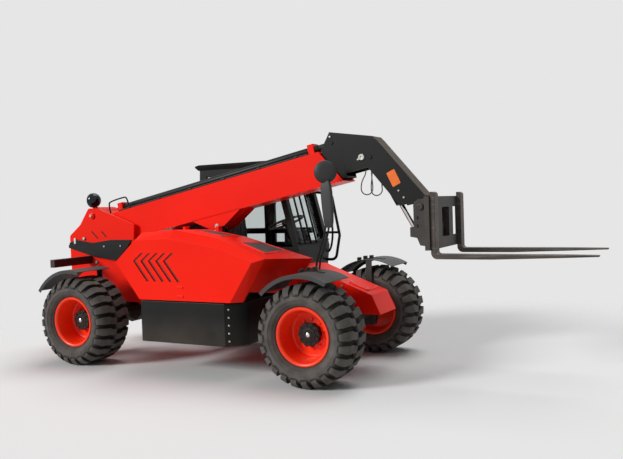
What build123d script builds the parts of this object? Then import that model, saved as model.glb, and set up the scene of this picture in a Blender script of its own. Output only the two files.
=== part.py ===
"""A compact telehandler: spine chassis, side cab, engine hood, telescopic boom, fork carriage.

Millimetres. +X is forward, +Y is the machine's left, +Z is up.
Sizes are laid out in a machine frame with x = 0 over the rear axle and z = 0 on the ground.
Every piece is moved by ORIGIN_SHIFT on writing, so that the origin is under the middle of the machine.
"""

import os
from math import cos, hypot, pi, radians, sin, tan

from build123d import *

# Driving dimensions: wheels
WHEELBASE = 2500.0
TRACK = 1440.0
TYRE_R = 420.0
TYRE_W = 410.0
LUGS = 24
LUG_DEPTH = 32.0
LUG_SHARE = 0.54
LUG_CENTRE_SHARE = 0.46
LUG_SLANT = 0.55
LUG_END_R = 366.0
LUG_END_RISE = 16.0
CROWN_HALF_W = 148.0
SIDEWALL_R = 318.0
SIDEWALL_TUCK = 8.0
RIM_FLANGE_R = 240.0
RIM_BARREL_R = 212.0
RIM_DISH_R = 190.0
RIM_LIP_R = 218.0
RIM_W = 330.0
RIM_WALL = 12.0
DISC_OFFSET = -30.0
DISC_T = 16.0
HUB_R = 86.0
HUB_REACH = 65.0
HUB_CHAMFER = 18.0

# Driving dimensions: axles, knuckles and fenders
KINGPIN_INSET = 175.0
KINGPIN_R = 22.0
KNUCKLE_HALF_H = 90.0
KNUCKLE_R = 60.0
YOKE_ARM_T = 34.0
YOKE_HALF_W = 52.0
YOKE_WEB = 40.0
AXLE_TUBE_R = 68.0
AXLE_SIDES = 12
DIFF_R = 128.0
DIFF_HALF_W = 70.0
DIFF_TAPER = 80.0
PAD_HALF_L = 60.0
SPINDLE_R = 74.0
FENDER_GAP = 75.0
FENDER_T = 6.0
FENDER_W = 430.0
FENDER_LIP = 34.0
FENDER_INSET = 6.0
FRONT_FENDER_ARC = (61.0, 137.0)
REAR_FENDER_ARC = (75.0, 144.0)
POST_W = 60.0
POST_T = 14.0

# Driving dimensions: spine chassis
SPINE_HALF_W = 185.0
SPINE_PLATE = 22.0
FRAME_REAR_X = 200.0
FRAME_BOTTOM = 330.0
FRAME_TOP = 640.0
BELLY_T = 12.0
FRAME_WALLS = (900.0, 1700.0)
FRAME_WALL_T = 20.0
AXLE_ARCH_Z = 520.0
AXLE_ARCH_HALF = 190.0
ARCH_RUN = 190.0
SHAFT_R = 26.0
SHAFT_Z = 430.0
SHAFT_ROOM = 15.0
GEARBOX_X = (1150.0, 1450.0)
GEARBOX_HALF_W = 120.0
GEARBOX_TOP = 600.0
NOSE_REACH = 388.0
NOSE_BACK = 420.0
NOSE_BREAK = 300.0
NOSE_BOTTOM = 506.0
NOSE_TOP_REAR = 915.0
NOSE_TOP_FRONT = 675.0
NOSE_LEAN = 78.0

# Driving dimensions: boom tower
TOWER_REAR_X = -728.0
TOWER_TAIL_Z = (930.0, 1215.0)
TOWER_FRONT_X = 190.0
TOWER_FRONT_Z = 1325.0
TOWER_KNEE_Z = 1170.0
TOWER_WAIST_Z = 900.0
TOWER_WALL_Z = 700.0
TOWER_FOOT_Z = 560.0
TOWER_CROWN_R = 80.0
TOWER_FLOOR_T = 20.0
PIN_END = 12.0
TRIM_T = 24.0
TRIM_TOP, TRIM_TIP_Z = 1168.0, 950.0
LAMP_BAR_REACH = 700.0
LAMP_BAR_X, LAMP_BAR_D = -470.0, 60.0
LAMP_BAR_Z, LAMP_BAR_H = 918.0, 80.0
WORK_LAMP_R = 60.0
WORK_LAMP_L = 74.0
WORK_LAMP_STEM = 24.0

# Driving dimensions: boom
PIVOT_X, PIVOT_Z = -385.0, 1425.0
PIVOT_PIN_R = 32.0
PIVOT_BOSS_R = 92.0
BOOM_ANGLE = 11.2
BOOM_HALF_W = 130.0
BOOM_TOP_N, BOOM_BOTTOM_N = -25.0, -335.0
BOOM_WALL = 14.0
BOOM_REAR_U = 150.0
BOOM_REAR_CUT = 40.0
MOUTH_TOP_U = 2745.0
MOUTH_SLANT = 185.0
MOUTH_GAP = 16.0
INNER_GAP = 11.0
INNER_WALL = 12.0
INNER_REAR_U = 450.0
INNER_STICK_OUT = 30.0
PAD_L = 80.0
PAD_EDGE = 20.0
HEAD_HALF_W = 104.0
HEAD_PLATE = 16.0
HEAD_NOSE = (135.0, 145.0)
HEAD_BROW = (526.0, 2.0)
HEAD_TIP = (884.0, -636.0)
HEAD_CHIN = (635.0, -639.0)
HEAD_THROAT = (424.0, -248.0)
HEAD_BOSS_R = 72.0
LIFT_PIN_U, LIFT_PIN_N = 1518.0, -440.0
LIFT_LUG_T = 20.0
LIFT_LUG_GAP = 76.0
LIFT_LUG_REAR, LIFT_LUG_FRONT = 190.0, 360.0
LIFT_LUG_DROP = 32.0

# Driving dimensions: cylinders
BORE_CLEARANCE = 0.3
LIFT_BASE_X, LIFT_BASE_Z = -320.0, 880.0
LIFT_BARREL_R = 38.0
LIFT_BARREL_L = 1220.0
LIFT_BASE_EYE_R = 52.0
LIFT_ROD_R = 25.0
LIFT_ROD_REACH = 800.0
LIFT_EYE_R = 30.0
LIFT_EYE_W = 110.0
LIFT_ROD_EYE_W = 64.0
TELE_BARREL_R = 38.0
TELE_ROD_R = 22.0
TELE_REAR_U = 235.0
TELE_GLAND_BACK = 45.0
TELE_STROKE = 1900.0
TELE_LIFT = 8.0
TELE_PIN_AHEAD = 135.0
TELE_PIN_R = 15.0
TELE_EYE_HALF_W = 34.0
CLAMP_L = 60.0
CLAMP_WALL = 16.0
GLAND_L = 40.0
TILT_PIVOT_AHEAD, TILT_PIVOT_DROP = 487.4, 73.6
TILT_EYE_AHEAD, TILT_EYE_DROP = 857.4, 728.6
TILT_BARREL_R = 42.0
TILT_BARREL_L = 470.0
TILT_BASE_EYE_R = 44.0
TILT_ROD_R = 20.0
TILT_ROD_REACH = 440.0
TILT_EYE_R = 34.0
TILT_EYE_W = 90.0
TILT_ROD_EYE_W = 76.0
TILT_PIN_R = 18.0

# Driving dimensions: fork carriage
HINGE_AHEAD, HINGE_DROP = 937.4, 513.6
HINGE_PIN_R = 25.0
HINGE_BOSS_R = 56.0
CARRIAGE_SETBACK = 135.0
CARRIAGE_HALF_W = 440.0
CARRIAGE_BAR_T = 40.0
CARRIAGE_RISE, CARRIAGE_FALL = 80.0, 345.0
CARRIAGE_BAR_H = 90.0
CARRIAGE_UPRIGHT = 106.0
CARRIAGE_EDGE = 25.0
EAR_T = 20.0
EAR_GAP = 6.0
EAR_REACH = 62.0
TILT_LUG_IN, TILT_LUG_T = 44.0, 16.0
FORK_SPACING = 740.0
FORK_W = 100.0
FORK_T = 40.0
FORK_LENGTH = 1185.0
FORK_DROP = 415.0
FORK_RISE = 115.0
FORK_HEEL_R = 34.0
FORK_HOOK_R = 26.0
FORK_TAPER = 0.4
FORK_TIP_T = 12.0
FORK_TIP_W = 56.0
FORK_TIP_L = 260.0

# Driving dimensions: side boxes and hood
SIDE_HALF_W = 850.0
TANK_REAR_X = 830.0
STEER_ROOM = 200.0
TANK_BOTTOM, TANK_TOP = 284.0, 652.0
TANK_CORNER_X, TANK_CORNER_Y = 140.0, 150.0
STEP_X, STEP_TOP, STEP_DEPTH = (1250.0, 1660.0), 470.0, 150.0
ENGINE_X = (900.0, 1700.0)
ENGINE_OUT_Y, ENGINE_TOP = 740.0, 1080.0
ENGINE_ROOM = 40.0
WALL_TOP, WALL_FRONT_TOP, WALL_BREAK_X = 1120.0, 900.0, 1500.0
HOOD_BOTTOM = 662.0
HOOD_WALL = 8.0
HOOD_INNER_Y = 212.0
HOOD_BAND = 70.0
HOOD_KNEE_Z = 998.0
HOOD_SIDE = (
    (817.0, 662.0), (548.0, 998.0), (785.0, 1196.0), (1175.0, 1205.0),
    (1700.0, 1119.0), (2028.0, 1000.0), (1803.0, 662.0),
)
HOOD_RIDGE = (
    (817.0, 662.0), (556.0, 998.0), (815.0, 1262.0), (1185.0, 1285.0),
    (1640.0, 1208.0), (2120.0, 1030.0), (1890.0, 662.0),
)
HOOD_VALLEY = (
    (817.0, 662.0), (556.0, 998.0), (815.0, 1240.0), (1185.0, 1262.0),
    (1560.0, 1190.0), (2270.0, 990.0), (2030.0, 662.0),
)
HOOD_HINGE_Y, HOOD_HINGE_Z = 200.0, 1282.0
HOOD_HINGES = (900.0, 1290.0)
HOOD_PIN_R = 6.0
HOOD_EYE_R = 12.0
HOOD_EYE_HALF_W = 15.0
CLEVIS_T = 14.0
LOUVRES = 5
LOUVRE_APEX = (764.0, 1012.0)
LOUVRE_PITCH = 86.0
LOUVRE_RISE, LOUVRE_FALL = (92.0, 70.0), (150.0, -185.0)
LOUVRE_W = 13.0
GRILLES = ((1305.0, 1560.0, -560.0, -330.0), (1795.0, 2000.0, -610.0, -320.0))
GRILLE_BAR, GRILLE_SLOT = 14.0, 34.0

# Driving dimensions: cab
CAB_RIGHT_Y, CAB_LEFT_Y = 205.0, 880.0
CAB_ROOF_Z = 1915.0
CAB_ROOF_T = 60.0
CAB_WALL = 30.0
CAB_POST = 62.0
CAB_SILL_X = (800.0, 1850.0)
CAB_WAIST_Z = 1040.0
CAB_KNEE_X = (720.0, 1900.0)
CAB_EAVES_X = (760.0, 1690.0)
CAB_REAR_KNEE_Z = 1100.0
WINDOW_LOW, WINDOW_HIGH = 1060.0, 1790.0
WINDOW_REAR_X, DOOR_POST_X = 840.0, 1130.0
DOORWAY_X, DOORWAY_LOW = 1200.0, 690.0
DOOR_GAP = 6.0
DOOR_RAIL = 54.0
DOOR_T = 34.0
GLASS_T = 6.0
GLASS_LAP = 15.0
ROOF_FRONT, ROOF_REAR = 50.0, 70.0
ROOF_CHAMFER = 24.0
DOOR_HINGE_X, DOOR_HINGE_Y = 1190.0, 900.0
DOOR_HINGES = (800.0, 1500.0)
DOOR_PIN_R = 6.0
DOOR_EYE_R = 12.0
RAIL_R = 15.0
RAIL_OUT = 40.0
SEAT_X, SEAT_Y, SEAT_HALF_W = 920.0, 540.0, 210.0
SEAT_Z, SEAT_T, SEAT_L = 940.0, 90.0, 480.0
BACK_H, BACK_T, BACK_LEAN = 470.0, 105.0, 45.0
WHEEL_RING_R, WHEEL_RING_T = 180.0, 26.0
WHEEL_AT = (1575.0, 540.0, 1290.0)
WHEEL_TILT = 20.6
COLUMN_HALF_W = 120.0
MIRROR_R, MIRROR_T = 100.0, 46.0
MIRROR_AT = (-53.0, -300.0, 1743.0)
STALK_R = 9.0
STALK_FOOT_X, STALK_KINK_Z = -155.0, 1250.0

# Hoses under the boom head: points chosen by hand, as (ahead of the mouth's top, y, below it)
HOSE_R = 5.0
HOSE_SIDES = 8
CLIP_HALF_L = 14.0
CLIP_H = 16.0
HOSE_RIGHT = (
    (439, -80, 154), (439, -80, 212), (399, -80, 272), (387, -80, 322),
    (387, -79, 367), (419, -78, 398), (463, -77, 398), (495, -76, 367),
    (495, -76, 309), (487, -76, 244), (487, -76, 179),
)
HOSE_LEFT = (
    (487, -64, 179), (487, -64, 236), (475, -64, 314), (475, -64, 379),
    (504, -64, 408), (546, -64, 408), (579, -64, 377), (575, -64, 329),
    (575, -64, 284),
)

# Clearances
MOVING_GAP = 6.0
SEAT_GAP = 0.3

# Worked-out places
FRONT_X = WHEELBASE
WHEEL_Z = TYRE_R
WHEEL_Y = TRACK / 2
KINGPIN_Y = WHEEL_Y - KINGPIN_INSET
SPINE_INNER = SPINE_HALF_W - SPINE_PLATE
NOSE_FRONT_X, NOSE_REAR_X = FRONT_X + NOSE_REACH, FRONT_X - NOSE_BACK
BELLY_X = (AXLE_ARCH_HALF + ARCH_RUN, NOSE_REAR_X - AXLE_ARCH_HALF + ARCH_RUN / 2)
TANK_FRONT_X = FRONT_X - TYRE_R - STEER_ROOM
MOUTH_BOTTOM_U = MOUTH_TOP_U + MOUTH_SLANT
INNER_FRONT_U = MOUTH_BOTTOM_U + INNER_STICK_OUT
TELE_GLAND_U = MOUTH_TOP_U - TELE_GLAND_BACK
TELE_PIN_U = MOUTH_TOP_U + TELE_PIN_AHEAD
TELE_N = BOOM_TOP_N + TELE_BARREL_R + TELE_LIFT
INNER_STEP = BOOM_WALL + INNER_GAP


def boom_point(u, n):
    """Machine x and z of a point u along the boom from its pivot and n above that line."""
    a = radians(BOOM_ANGLE)
    return PIVOT_X + u * cos(a) - n * sin(a), PIVOT_Z + u * sin(a) + n * cos(a)


def from_mouth(ahead, drop):
    """Machine x and z of a point on the boom head, from the top of the outer boom's mouth."""
    x, z = boom_point(MOUTH_TOP_U, BOOM_TOP_N)
    return x + ahead, z - drop


HINGE_X, HINGE_Z = from_mouth(HINGE_AHEAD, HINGE_DROP)
TILT_PIVOT = from_mouth(TILT_PIVOT_AHEAD, TILT_PIVOT_DROP)
TILT_EYE = from_mouth(TILT_EYE_AHEAD, TILT_EYE_DROP)
CARRIAGE_BACK_X = HINGE_X + CARRIAGE_SETBACK
CARRIAGE_TOP_Z, CARRIAGE_BOTTOM_Z = HINGE_Z + CARRIAGE_RISE, HINGE_Z - CARRIAGE_FALL
FORK_BACK_X = CARRIAGE_BACK_X + CARRIAGE_BAR_T
FORK_FRONT_X = FORK_BACK_X + FORK_T
FORK_TIP_X = FORK_FRONT_X + FORK_LENGTH
FORK_BLADE_Z, FORK_TOP_Z = HINGE_Z - FORK_DROP, HINGE_Z + FORK_RISE
ORIGIN_SHIFT = -(FORK_TIP_X + TOWER_REAR_X) / 2


# Shape helpers
def bar(x0, x1, y0, y1, z0, z1):
    """A block between two corners."""
    return Pos((x0 + x1) / 2, (y0 + y1) / 2, (z0 + z1) / 2) * Box(x1 - x0, y1 - y0, z1 - z0)


def plate(points, y0, y1, rounded=()):
    """An outline in x and z carried across from y0 to y1; rounded holds (corner number, radius)."""
    face = make_face(Polyline(*[(x, y0, z) for x, z in points], close=True))
    for corner, radius in rounded:
        x, z = points[corner]
        face = face.face().fillet_2d(radius, [face.vertices().sort_by_distance((x, y0, z))[0]])
    return extrude(face, amount=y1 - y0, dir=(0, 1, 0))


def slab(points, z0, z1):
    """An outline in x and y, carried up from z0 to z1."""
    face = make_face(Polyline(*[(x, y, z0) for x, y in points], close=True))
    return extrude(face, amount=z1 - z0, dir=(0, 0, 1))


def rod(a, b, r):
    """A round bar from point a to point b."""
    a, b = Vector(*a), Vector(*b)
    return Plane(origin=(a + b) * 0.5, z_dir=(b - a).normalized()) * Cylinder(r, (b - a).length)


def cross_pin(x, z, y0, y1, r):
    """A round bar across the machine."""
    return rod((x, y0, z), (x, y1, z), r)


def both_sides(shape):
    """A piece and its mirror image across the centre line."""
    return shape + mirror(shape, about=Plane.XZ)


def flat_sided(corners, loops):
    """A closed body from its corners and the loops of flat faces between them."""
    return Solid(Shell([Face(Wire.make_polygon([corners[i] for i in loop])) for loop in loops]))


def turned(points, sides, at, axis, start=(0, 0, -1)):
    """A flat-sided ring about an axis: points are (offset along the axis, radius) of its section."""
    count = len(points)
    corners, loops = [], []
    for k in range(sides):
        a = 2 * pi * k / sides
        corners += [(r * cos(a), r * sin(a), offset) for offset, r in points]
        here, there = k * count, (k + 1) % sides * count
        for i, (_, r) in enumerate(points):
            j = (i + 1) % count
            far_r = points[j][1]
            if r or far_r:
                loops.append([here + i] + [there + i] * (r > 0) + [there + j] * (far_r > 0) + [here + j])
    return Plane(origin=at, x_dir=start, z_dir=axis) * flat_sided(corners, loops)


def boom_plate(points, y0, y1):
    """An outline in boom coordinates, carried across from y0 to y1."""
    return plate([boom_point(u, n) for u, n in points], y0, y1)


def boom_block(u0, u1, n0, n1, y0, y1):
    """A block in boom coordinates."""
    return boom_plate([(u0, n0), (u1, n0), (u1, n1), (u0, n1)], y0, y1)


def boom_rod(u0, u1, n, r):
    """A round bar along the boom's middle plane."""
    (x0, z0), (x1, z1) = boom_point(u0, n), boom_point(u1, n)
    return rod((x0, 0, z0), (x1, 0, z1), r)


def between(a, b, along):
    """The point that lies so far from a towards b, in x and z."""
    length = hypot(b[0] - a[0], b[1] - a[1])
    return a[0] + (b[0] - a[0]) * along / length, a[1] + (b[1] - a[1]) * along / length


# Wheels, knuckles and axles
def tyre(x, side):
    """Carcass with two staggered rows of slanting lugs, drawn ring by ring with flat faces.

    Each row has rings at the middle of the tread, the edge of the crown and the shoulder. There a lug has
    a base and a tip at its start and its end, so that tips and grooves alternate round the tyre.
    """
    pitch = 2 * pi / LUGS
    half, bead = TYRE_W / 2, RIM_W / 2 - RIM_WALL - SEAT_GAP
    groove = TYRE_R - LUG_DEPTH
    bead_rings = ((bead, RIM_FLANGE_R + SEAT_GAP), (bead, RIM_BARREL_R + SEAT_GAP))
    lug_rings = (
        (0.0, LUG_CENTRE_SHARE, LUG_SLANT, TYRE_R, groove),
        (CROWN_HALF_W, LUG_SHARE, 0.0, TYRE_R, groove),
        (half, LUG_SHARE, 0.0, LUG_END_R, LUG_END_R - LUG_END_RISE),
    )
    corners, loops = [], []

    def corner(angle, r, offset):
        corners.append((r * cos(angle), r * sin(angle), offset))
        return len(corners) - 1

    rows, beads = {}, {}
    for row in (1, -1):
        rings = []
        for offset, share, slant, tip_r, base_r in lug_rings:
            ring = []
            for k in range(LUGS):
                middle = (k + row / 4 + side * slant / 4) * pitch
                ends = (middle - share * pitch / 2, middle + share * pitch / 2)
                base = [corner(a, base_r, row * offset) for a in ends]
                tip = [corner(a, tip_r, row * offset) for a in ends]
                ring.append((base[0], tip[0], tip[1], base[1]))
            rings.append(ring)
        rows[row] = rings
        wall = [corner((k + row / 4) * pitch, SIDEWALL_R, row * (half - SIDEWALL_TUCK)) for k in range(LUGS)]
        beads[row] = [[corner(k * pitch, r, row * o) for k in range(LUGS)] for o, r in bead_rings]
        for k in range(LUGS):
            after = (k + 1) % LUGS
            shoulder = rings[2][k]
            for i in range(3):
                loops.append([wall[k], shoulder[i], shoulder[i + 1]])
            loops.append([wall[k], shoulder[3], rings[2][after][0]])
            loops.append([wall[k], rings[2][after][0], wall[after]])
            first = k if row < 0 else after
            loops.append([wall[k], wall[after], beads[row][0][first]])
            loops.append([wall[k], beads[row][0][first], beads[row][0][first - 1]])
            loops.append([beads[row][0][k], beads[row][0][after], beads[row][1][after], beads[row][1][k]])
    for row in (1, -1):
        rings = rows[row]
        for k in range(LUGS):
            after = (k + 1) % LUGS
            neighbour = rows[-row][0][after if row > 0 else k]
            for near, far in zip(rings, rings[1:]):
                for i in range(3):
                    loops.append([near[k][i], near[k][i + 1], far[k][i + 1]])
                    loops.append([near[k][i], far[k][i + 1], far[k][i]])
            loops.append(list(rings[0][k]))
            loops.append([rings[1][k][3], rings[1][after][0], rings[2][after][0]])
            loops.append([rings[1][k][3], rings[2][after][0], rings[2][k][3]])
            floor = [rings[0][k][3], neighbour[0], neighbour[3], rings[0][after][0], rings[1][after][0]]
            for i in range(4):
                loops.append([rings[1][k][3], floor[i], floor[i + 1]])
    for k in range(LUGS):
        after = (k + 1) % LUGS
        loops.append([beads[1][1][k], beads[1][1][after], beads[-1][1][after], beads[-1][1][k]])
    wheel_plane = Plane(origin=(x, side * WHEEL_Y, WHEEL_Z), x_dir=(0, 0, -1), z_dir=(0, side, 0))
    return wheel_plane * flat_sided(corners, loops)


def rim(x, side):
    """Flanged barrel with a dished inside, a set-in disc and the hub that stands out of it."""
    half, seat = RIM_W / 2, RIM_W / 2 - RIM_WALL
    disc_in, disc_out = DISC_OFFSET - DISC_T / 2, DISC_OFFSET + DISC_T / 2
    section = [
        (HUB_REACH, 0), (HUB_REACH, HUB_R - HUB_CHAMFER), (HUB_REACH - HUB_CHAMFER, HUB_R), (disc_out, HUB_R),
        (disc_out, RIM_DISH_R), (seat, RIM_BARREL_R - RIM_WALL / 2), (half, RIM_LIP_R), (half, RIM_FLANGE_R),
        (seat, RIM_FLANGE_R), (seat, RIM_BARREL_R), (-seat, RIM_BARREL_R), (-seat, RIM_FLANGE_R),
        (-half, RIM_FLANGE_R), (-half, RIM_BARREL_R - RIM_WALL / 2), (disc_in, RIM_DISH_R), (disc_in, 0),
    ]
    return turned(section, LUGS, (x, side * WHEEL_Y, WHEEL_Z), (0, side, 0))


def knuckle(x, side):
    """Steering knuckle: kingpin post with its pins, and the spindle that carries the hub."""
    at = (x, side * KINGPIN_Y, WHEEL_Z)
    half, top = KNUCKLE_HALF_H, KNUCKLE_HALF_H + YOKE_ARM_T + MOVING_GAP
    reach = WHEEL_Y + DISC_OFFSET - DISC_T / 2 - SEAT_GAP - KINGPIN_Y
    post_section = [(-half, 0), (-half, KNUCKLE_R), (half, KNUCKLE_R), (half, 0)]
    post = turned(post_section, AXLE_SIDES, at, (0, 0, 1), (1, 0, 0))
    pins = rod((x, at[1], WHEEL_Z - top), (x, at[1], WHEEL_Z + top), KINGPIN_R)
    spindle_section = [(0, 0), (reach, 0), (reach, SPINDLE_R), (0, SPINDLE_R)]
    return post + pins + turned(spindle_section, AXLE_SIDES, at, (0, side, 0))


def fender(x, side, arc):
    """Curved mudguard with a turned-down outer lip, and the bent post that holds it to the knuckle."""
    inner = TYRE_R + FENDER_GAP
    outer = inner + FENDER_T
    y_out = side * (WHEEL_Y + TYRE_W / 2 - FENDER_INSET)
    y_in = y_out - side * FENDER_W
    low, high = radians(arc[0]), radians(arc[1])
    mid = (low + high) / 2

    def band(r0, r1, y, width):
        """Part of a ring over the tyre, from y outwards."""
        def at(r, a):
            return (x + r * cos(a), y, WHEEL_Z + r * sin(a))
        edge = [
            ThreePointArc(at(r1, low), at(r1, mid), at(r1, high)), Line(at(r1, high), at(r0, high)),
            ThreePointArc(at(r0, high), at(r0, mid), at(r0, low)), Line(at(r0, low), at(r1, low)),
        ]
        return extrude(make_face(Wire(edge)), amount=width, dir=(0, side, 0))

    guard = band(inner, outer, y_in, FENDER_W)
    guard += band(outer - FENDER_LIP, outer, y_out - side * FENDER_T, FENDER_T)
    post_y = side * (WHEEL_Y - TYRE_W / 2 - MOVING_GAP - POST_T)
    post_foot = WHEEL_Z + KNUCKLE_HALF_H + YOKE_ARM_T + MOVING_GAP
    y0, y1 = sorted((post_y, post_y + side * POST_T))
    post = bar(x - POST_W / 2, x + POST_W / 2, y0, y1, post_foot, WHEEL_Z + inner + FENDER_T / 2)
    foot_y0, foot_y1 = sorted((post_y, side * (KINGPIN_Y + KINGPIN_R)))
    foot = bar(x - POST_W / 2, x + POST_W / 2, foot_y0, foot_y1, post_foot, post_foot + POST_T)
    return guard + post + foot


def axle(x, seat_z):
    """Axle housing with its differential bulge, a yoke at each end and the pads it hangs by."""
    tube_end = KINGPIN_Y - KNUCKLE_R - MOVING_GAP
    bulge = DIFF_HALF_W + DIFF_TAPER
    section = [
        (-tube_end, 0), (-tube_end, AXLE_TUBE_R), (-bulge, AXLE_TUBE_R), (-DIFF_HALF_W, DIFF_R),
        (DIFF_HALF_W, DIFF_R), (bulge, AXLE_TUBE_R), (tube_end, AXLE_TUBE_R), (tube_end, 0),
    ]
    housing = turned(section, AXLE_SIDES, (x, 0, WHEEL_Z), (0, 1, 0))
    pad = bar(x - PAD_HALF_L, x + PAD_HALF_L, SPINE_INNER - PAD_EDGE, SPINE_HALF_W, WHEEL_Z, seat_z)
    housing += both_sides(pad)
    reach = KNUCKLE_HALF_H + YOKE_ARM_T - 1
    w = YOKE_HALF_W
    for side in (-1, 1):
        y, root = side * KINGPIN_Y, side * (tube_end - YOKE_WEB)
        tip = y + side * w
        arm_outline = [
            (x - w, root), (x - w, y), (x - w / 2, tip), (x + w / 2, tip), (x + w, y), (x + w, root),
        ]
        bore = rod((x, y, WHEEL_Z - 2 * reach), (x, y, WHEEL_Z + 2 * reach), KINGPIN_R + BORE_CLEARANCE)
        for up in (-1, 1):
            z0, z1 = sorted((WHEEL_Z + up * (KNUCKLE_HALF_H + SEAT_GAP), WHEEL_Z + up * reach))
            housing += slab(arm_outline, z0, z1) - bore
        y0, y1 = sorted((root, side * tube_end))
        housing += bar(x - w, x + w, y0, y1, WHEEL_Z - reach, WHEEL_Z + reach)
    return housing


# Chassis
def main_frame():
    """Two deep side plates with a belly plate and cross walls."""
    rise = ARCH_RUN / 2
    outline = [
        (FRAME_REAR_X, AXLE_ARCH_Z), (BELLY_X[0] - rise, AXLE_ARCH_Z - PAD_HALF_L),
        (BELLY_X[0], FRAME_BOTTOM), (BELLY_X[1], FRAME_BOTTOM), (NOSE_REAR_X, NOSE_BOTTOM),
        (NOSE_REAR_X, FRAME_TOP), (FRAME_REAR_X, FRAME_TOP),
    ]
    frame = both_sides(plate(outline, SPINE_INNER, SPINE_HALF_W))
    frame += bar(*BELLY_X, -SPINE_INNER, SPINE_INNER, FRAME_BOTTOM, FRAME_BOTTOM + BELLY_T)
    for x in FRAME_WALLS:
        wall = bar(x, x + FRAME_WALL_T, -SPINE_INNER, SPINE_INNER, FRAME_BOTTOM, FRAME_TOP)
        past = FRAME_WALL_T
        hole = rod((x - past, 0, SHAFT_Z), (x + 2 * past, 0, SHAFT_Z), SHAFT_R + SHAFT_ROOM)
        frame += wall - hole
    return frame


def boom_tower():
    """Two pivot plates with rounded crowns, the wall that ties them, and their bosses and pins."""
    crown = PIVOT_Z + TOWER_CROWN_R
    outline = [
        (FRAME_REAR_X, AXLE_ARCH_Z), (-AXLE_ARCH_HALF - PAD_HALF_L, AXLE_ARCH_Z),
        (TOWER_REAR_X + 30, TOWER_FOOT_Z),
        (TOWER_REAR_X, TOWER_TAIL_Z[0]), (TOWER_REAR_X, TOWER_TAIL_Z[1]), (PIVOT_X - 185, PIVOT_Z - 95),
        (PIVOT_X - 55, crown), (PIVOT_X + 70, crown), (TOWER_FRONT_X, TOWER_FRONT_Z),
        (TOWER_FRONT_X - 15, TOWER_KNEE_Z), (FRAME_REAR_X, TOWER_WAIST_Z),
    ]
    rounded = ((4, 40), (5, 120), (6, 34), (7, 60), (8, 20))
    tower = both_sides(plate(outline, SPINE_INNER, SPINE_HALF_W, rounded))
    floor_z = WHEEL_Z + DIFF_R + PIN_END
    rear = TOWER_REAR_X + 8
    tower += bar(rear, rear + SPINE_PLATE, -SPINE_INNER, SPINE_INNER, TOWER_WALL_Z, TOWER_TAIL_Z[1] - 25)
    tower += bar(TOWER_REAR_X + 40, FRAME_REAR_X, -SPINE_INNER, SPINE_INNER, floor_z, floor_z + TOWER_FLOOR_T)
    boss = cross_pin(PIVOT_X, PIVOT_Z, BOOM_HALF_W + MOVING_GAP, SPINE_INNER, PIVOT_BOSS_R * 0.8)
    boss += cross_pin(LIFT_BASE_X, LIFT_BASE_Z, LIFT_EYE_W / 2 + MOVING_GAP, SPINE_INNER, LIFT_BARREL_R)
    reach = SPINE_HALF_W + PIN_END
    tower += both_sides(boss) + cross_pin(PIVOT_X, PIVOT_Z, -reach, reach, PIVOT_PIN_R)
    return tower + cross_pin(LIFT_BASE_X, LIFT_BASE_Z, -reach, reach, LIFT_ROD_R)


def nose_outline(wall):
    """Side outline of the nose box, drawn in by the wall."""
    break_x = FRONT_X - NOSE_BREAK
    below = NOSE_BOTTOM - wall / 2
    return [
        (NOSE_REAR_X - wall / 2, below), (NOSE_FRONT_X - wall, below),
        (NOSE_FRONT_X - NOSE_LEAN - wall, NOSE_TOP_FRONT - wall), (break_x - wall / 4, NOSE_TOP_REAR - wall),
        (NOSE_REAR_X - wall / 2, NOSE_TOP_REAR - wall),
    ]


def front_nose():
    """Sloping box at the front of the spine, open below, that rides over the front axle."""
    hollow = plate(nose_outline(SPINE_PLATE), -SPINE_INNER, SPINE_INNER)
    return plate(nose_outline(0), -SPINE_HALF_W, SPINE_HALF_W) - hollow


def drive_line():
    """Gearbox in the spine with a shaft to each axle."""
    box = bar(*GEARBOX_X, -GEARBOX_HALF_W, GEARBOX_HALF_W, FRAME_BOTTOM + BELLY_T, GEARBOX_TOP)
    box = chamfer(box.edges().filter_by(Axis.X), 40)
    rear = rod((DIFF_R, 0, SHAFT_Z), (GEARBOX_X[0], 0, SHAFT_Z), SHAFT_R)
    return box + rear + rod((GEARBOX_X[1], 0, SHAFT_Z), (FRONT_X - DIFF_R, 0, SHAFT_Z), SHAFT_R)


def side_trims():
    """Dark folded plates on the tower's flanks, arrow-shaped, with a bevelled upper half."""
    tail = TOWER_REAR_X + 1
    outline = [
        (tail, TRIM_TOP - 29), (-620, TRIM_TOP + 3), (-388, TRIM_TOP - 31), (-130, TRIM_TOP),
        (150, TRIM_TOP - 2),
        (120, TRIM_TOP - 68), (-46, TRIM_TIP_Z), (-354, TRIM_TIP_Z + 38), (tail, TRIM_TOP - 84),
    ]
    body = plate(outline, SPINE_HALF_W, SPINE_HALF_W + TRIM_T)
    ridge = [(tail - 5, TRIM_TOP - 56), (-388, TRIM_TOP - 84), (-130, TRIM_TOP - 40), (200, TRIM_TOP - 40)]
    top = [(x, TRIM_TOP + 10) for x, _ in reversed(ridge)]
    face = make_face(Polyline(*[(x, SPINE_HALF_W + TRIM_T / 2, z) for x, z in ridge + top], close=True))
    return both_sides(body - extrude(face, amount=TRIM_T, dir=(0, 1, 0.7)))


def tail_lamps():
    """Lamp bars standing out from the tower at the rear, with a sunk lens in the back of each."""
    z1 = LAMP_BAR_Z + LAMP_BAR_H
    arm = bar(LAMP_BAR_X, LAMP_BAR_X + LAMP_BAR_D, SPINE_HALF_W, LAMP_BAR_REACH, LAMP_BAR_Z, z1)
    lens_y = (LAMP_BAR_REACH - 260, LAMP_BAR_REACH - 15)
    return both_sides(arm - bar(LAMP_BAR_X - 5, LAMP_BAR_X + 8, *lens_y, LAMP_BAR_Z + 12, z1 - 12))


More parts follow.
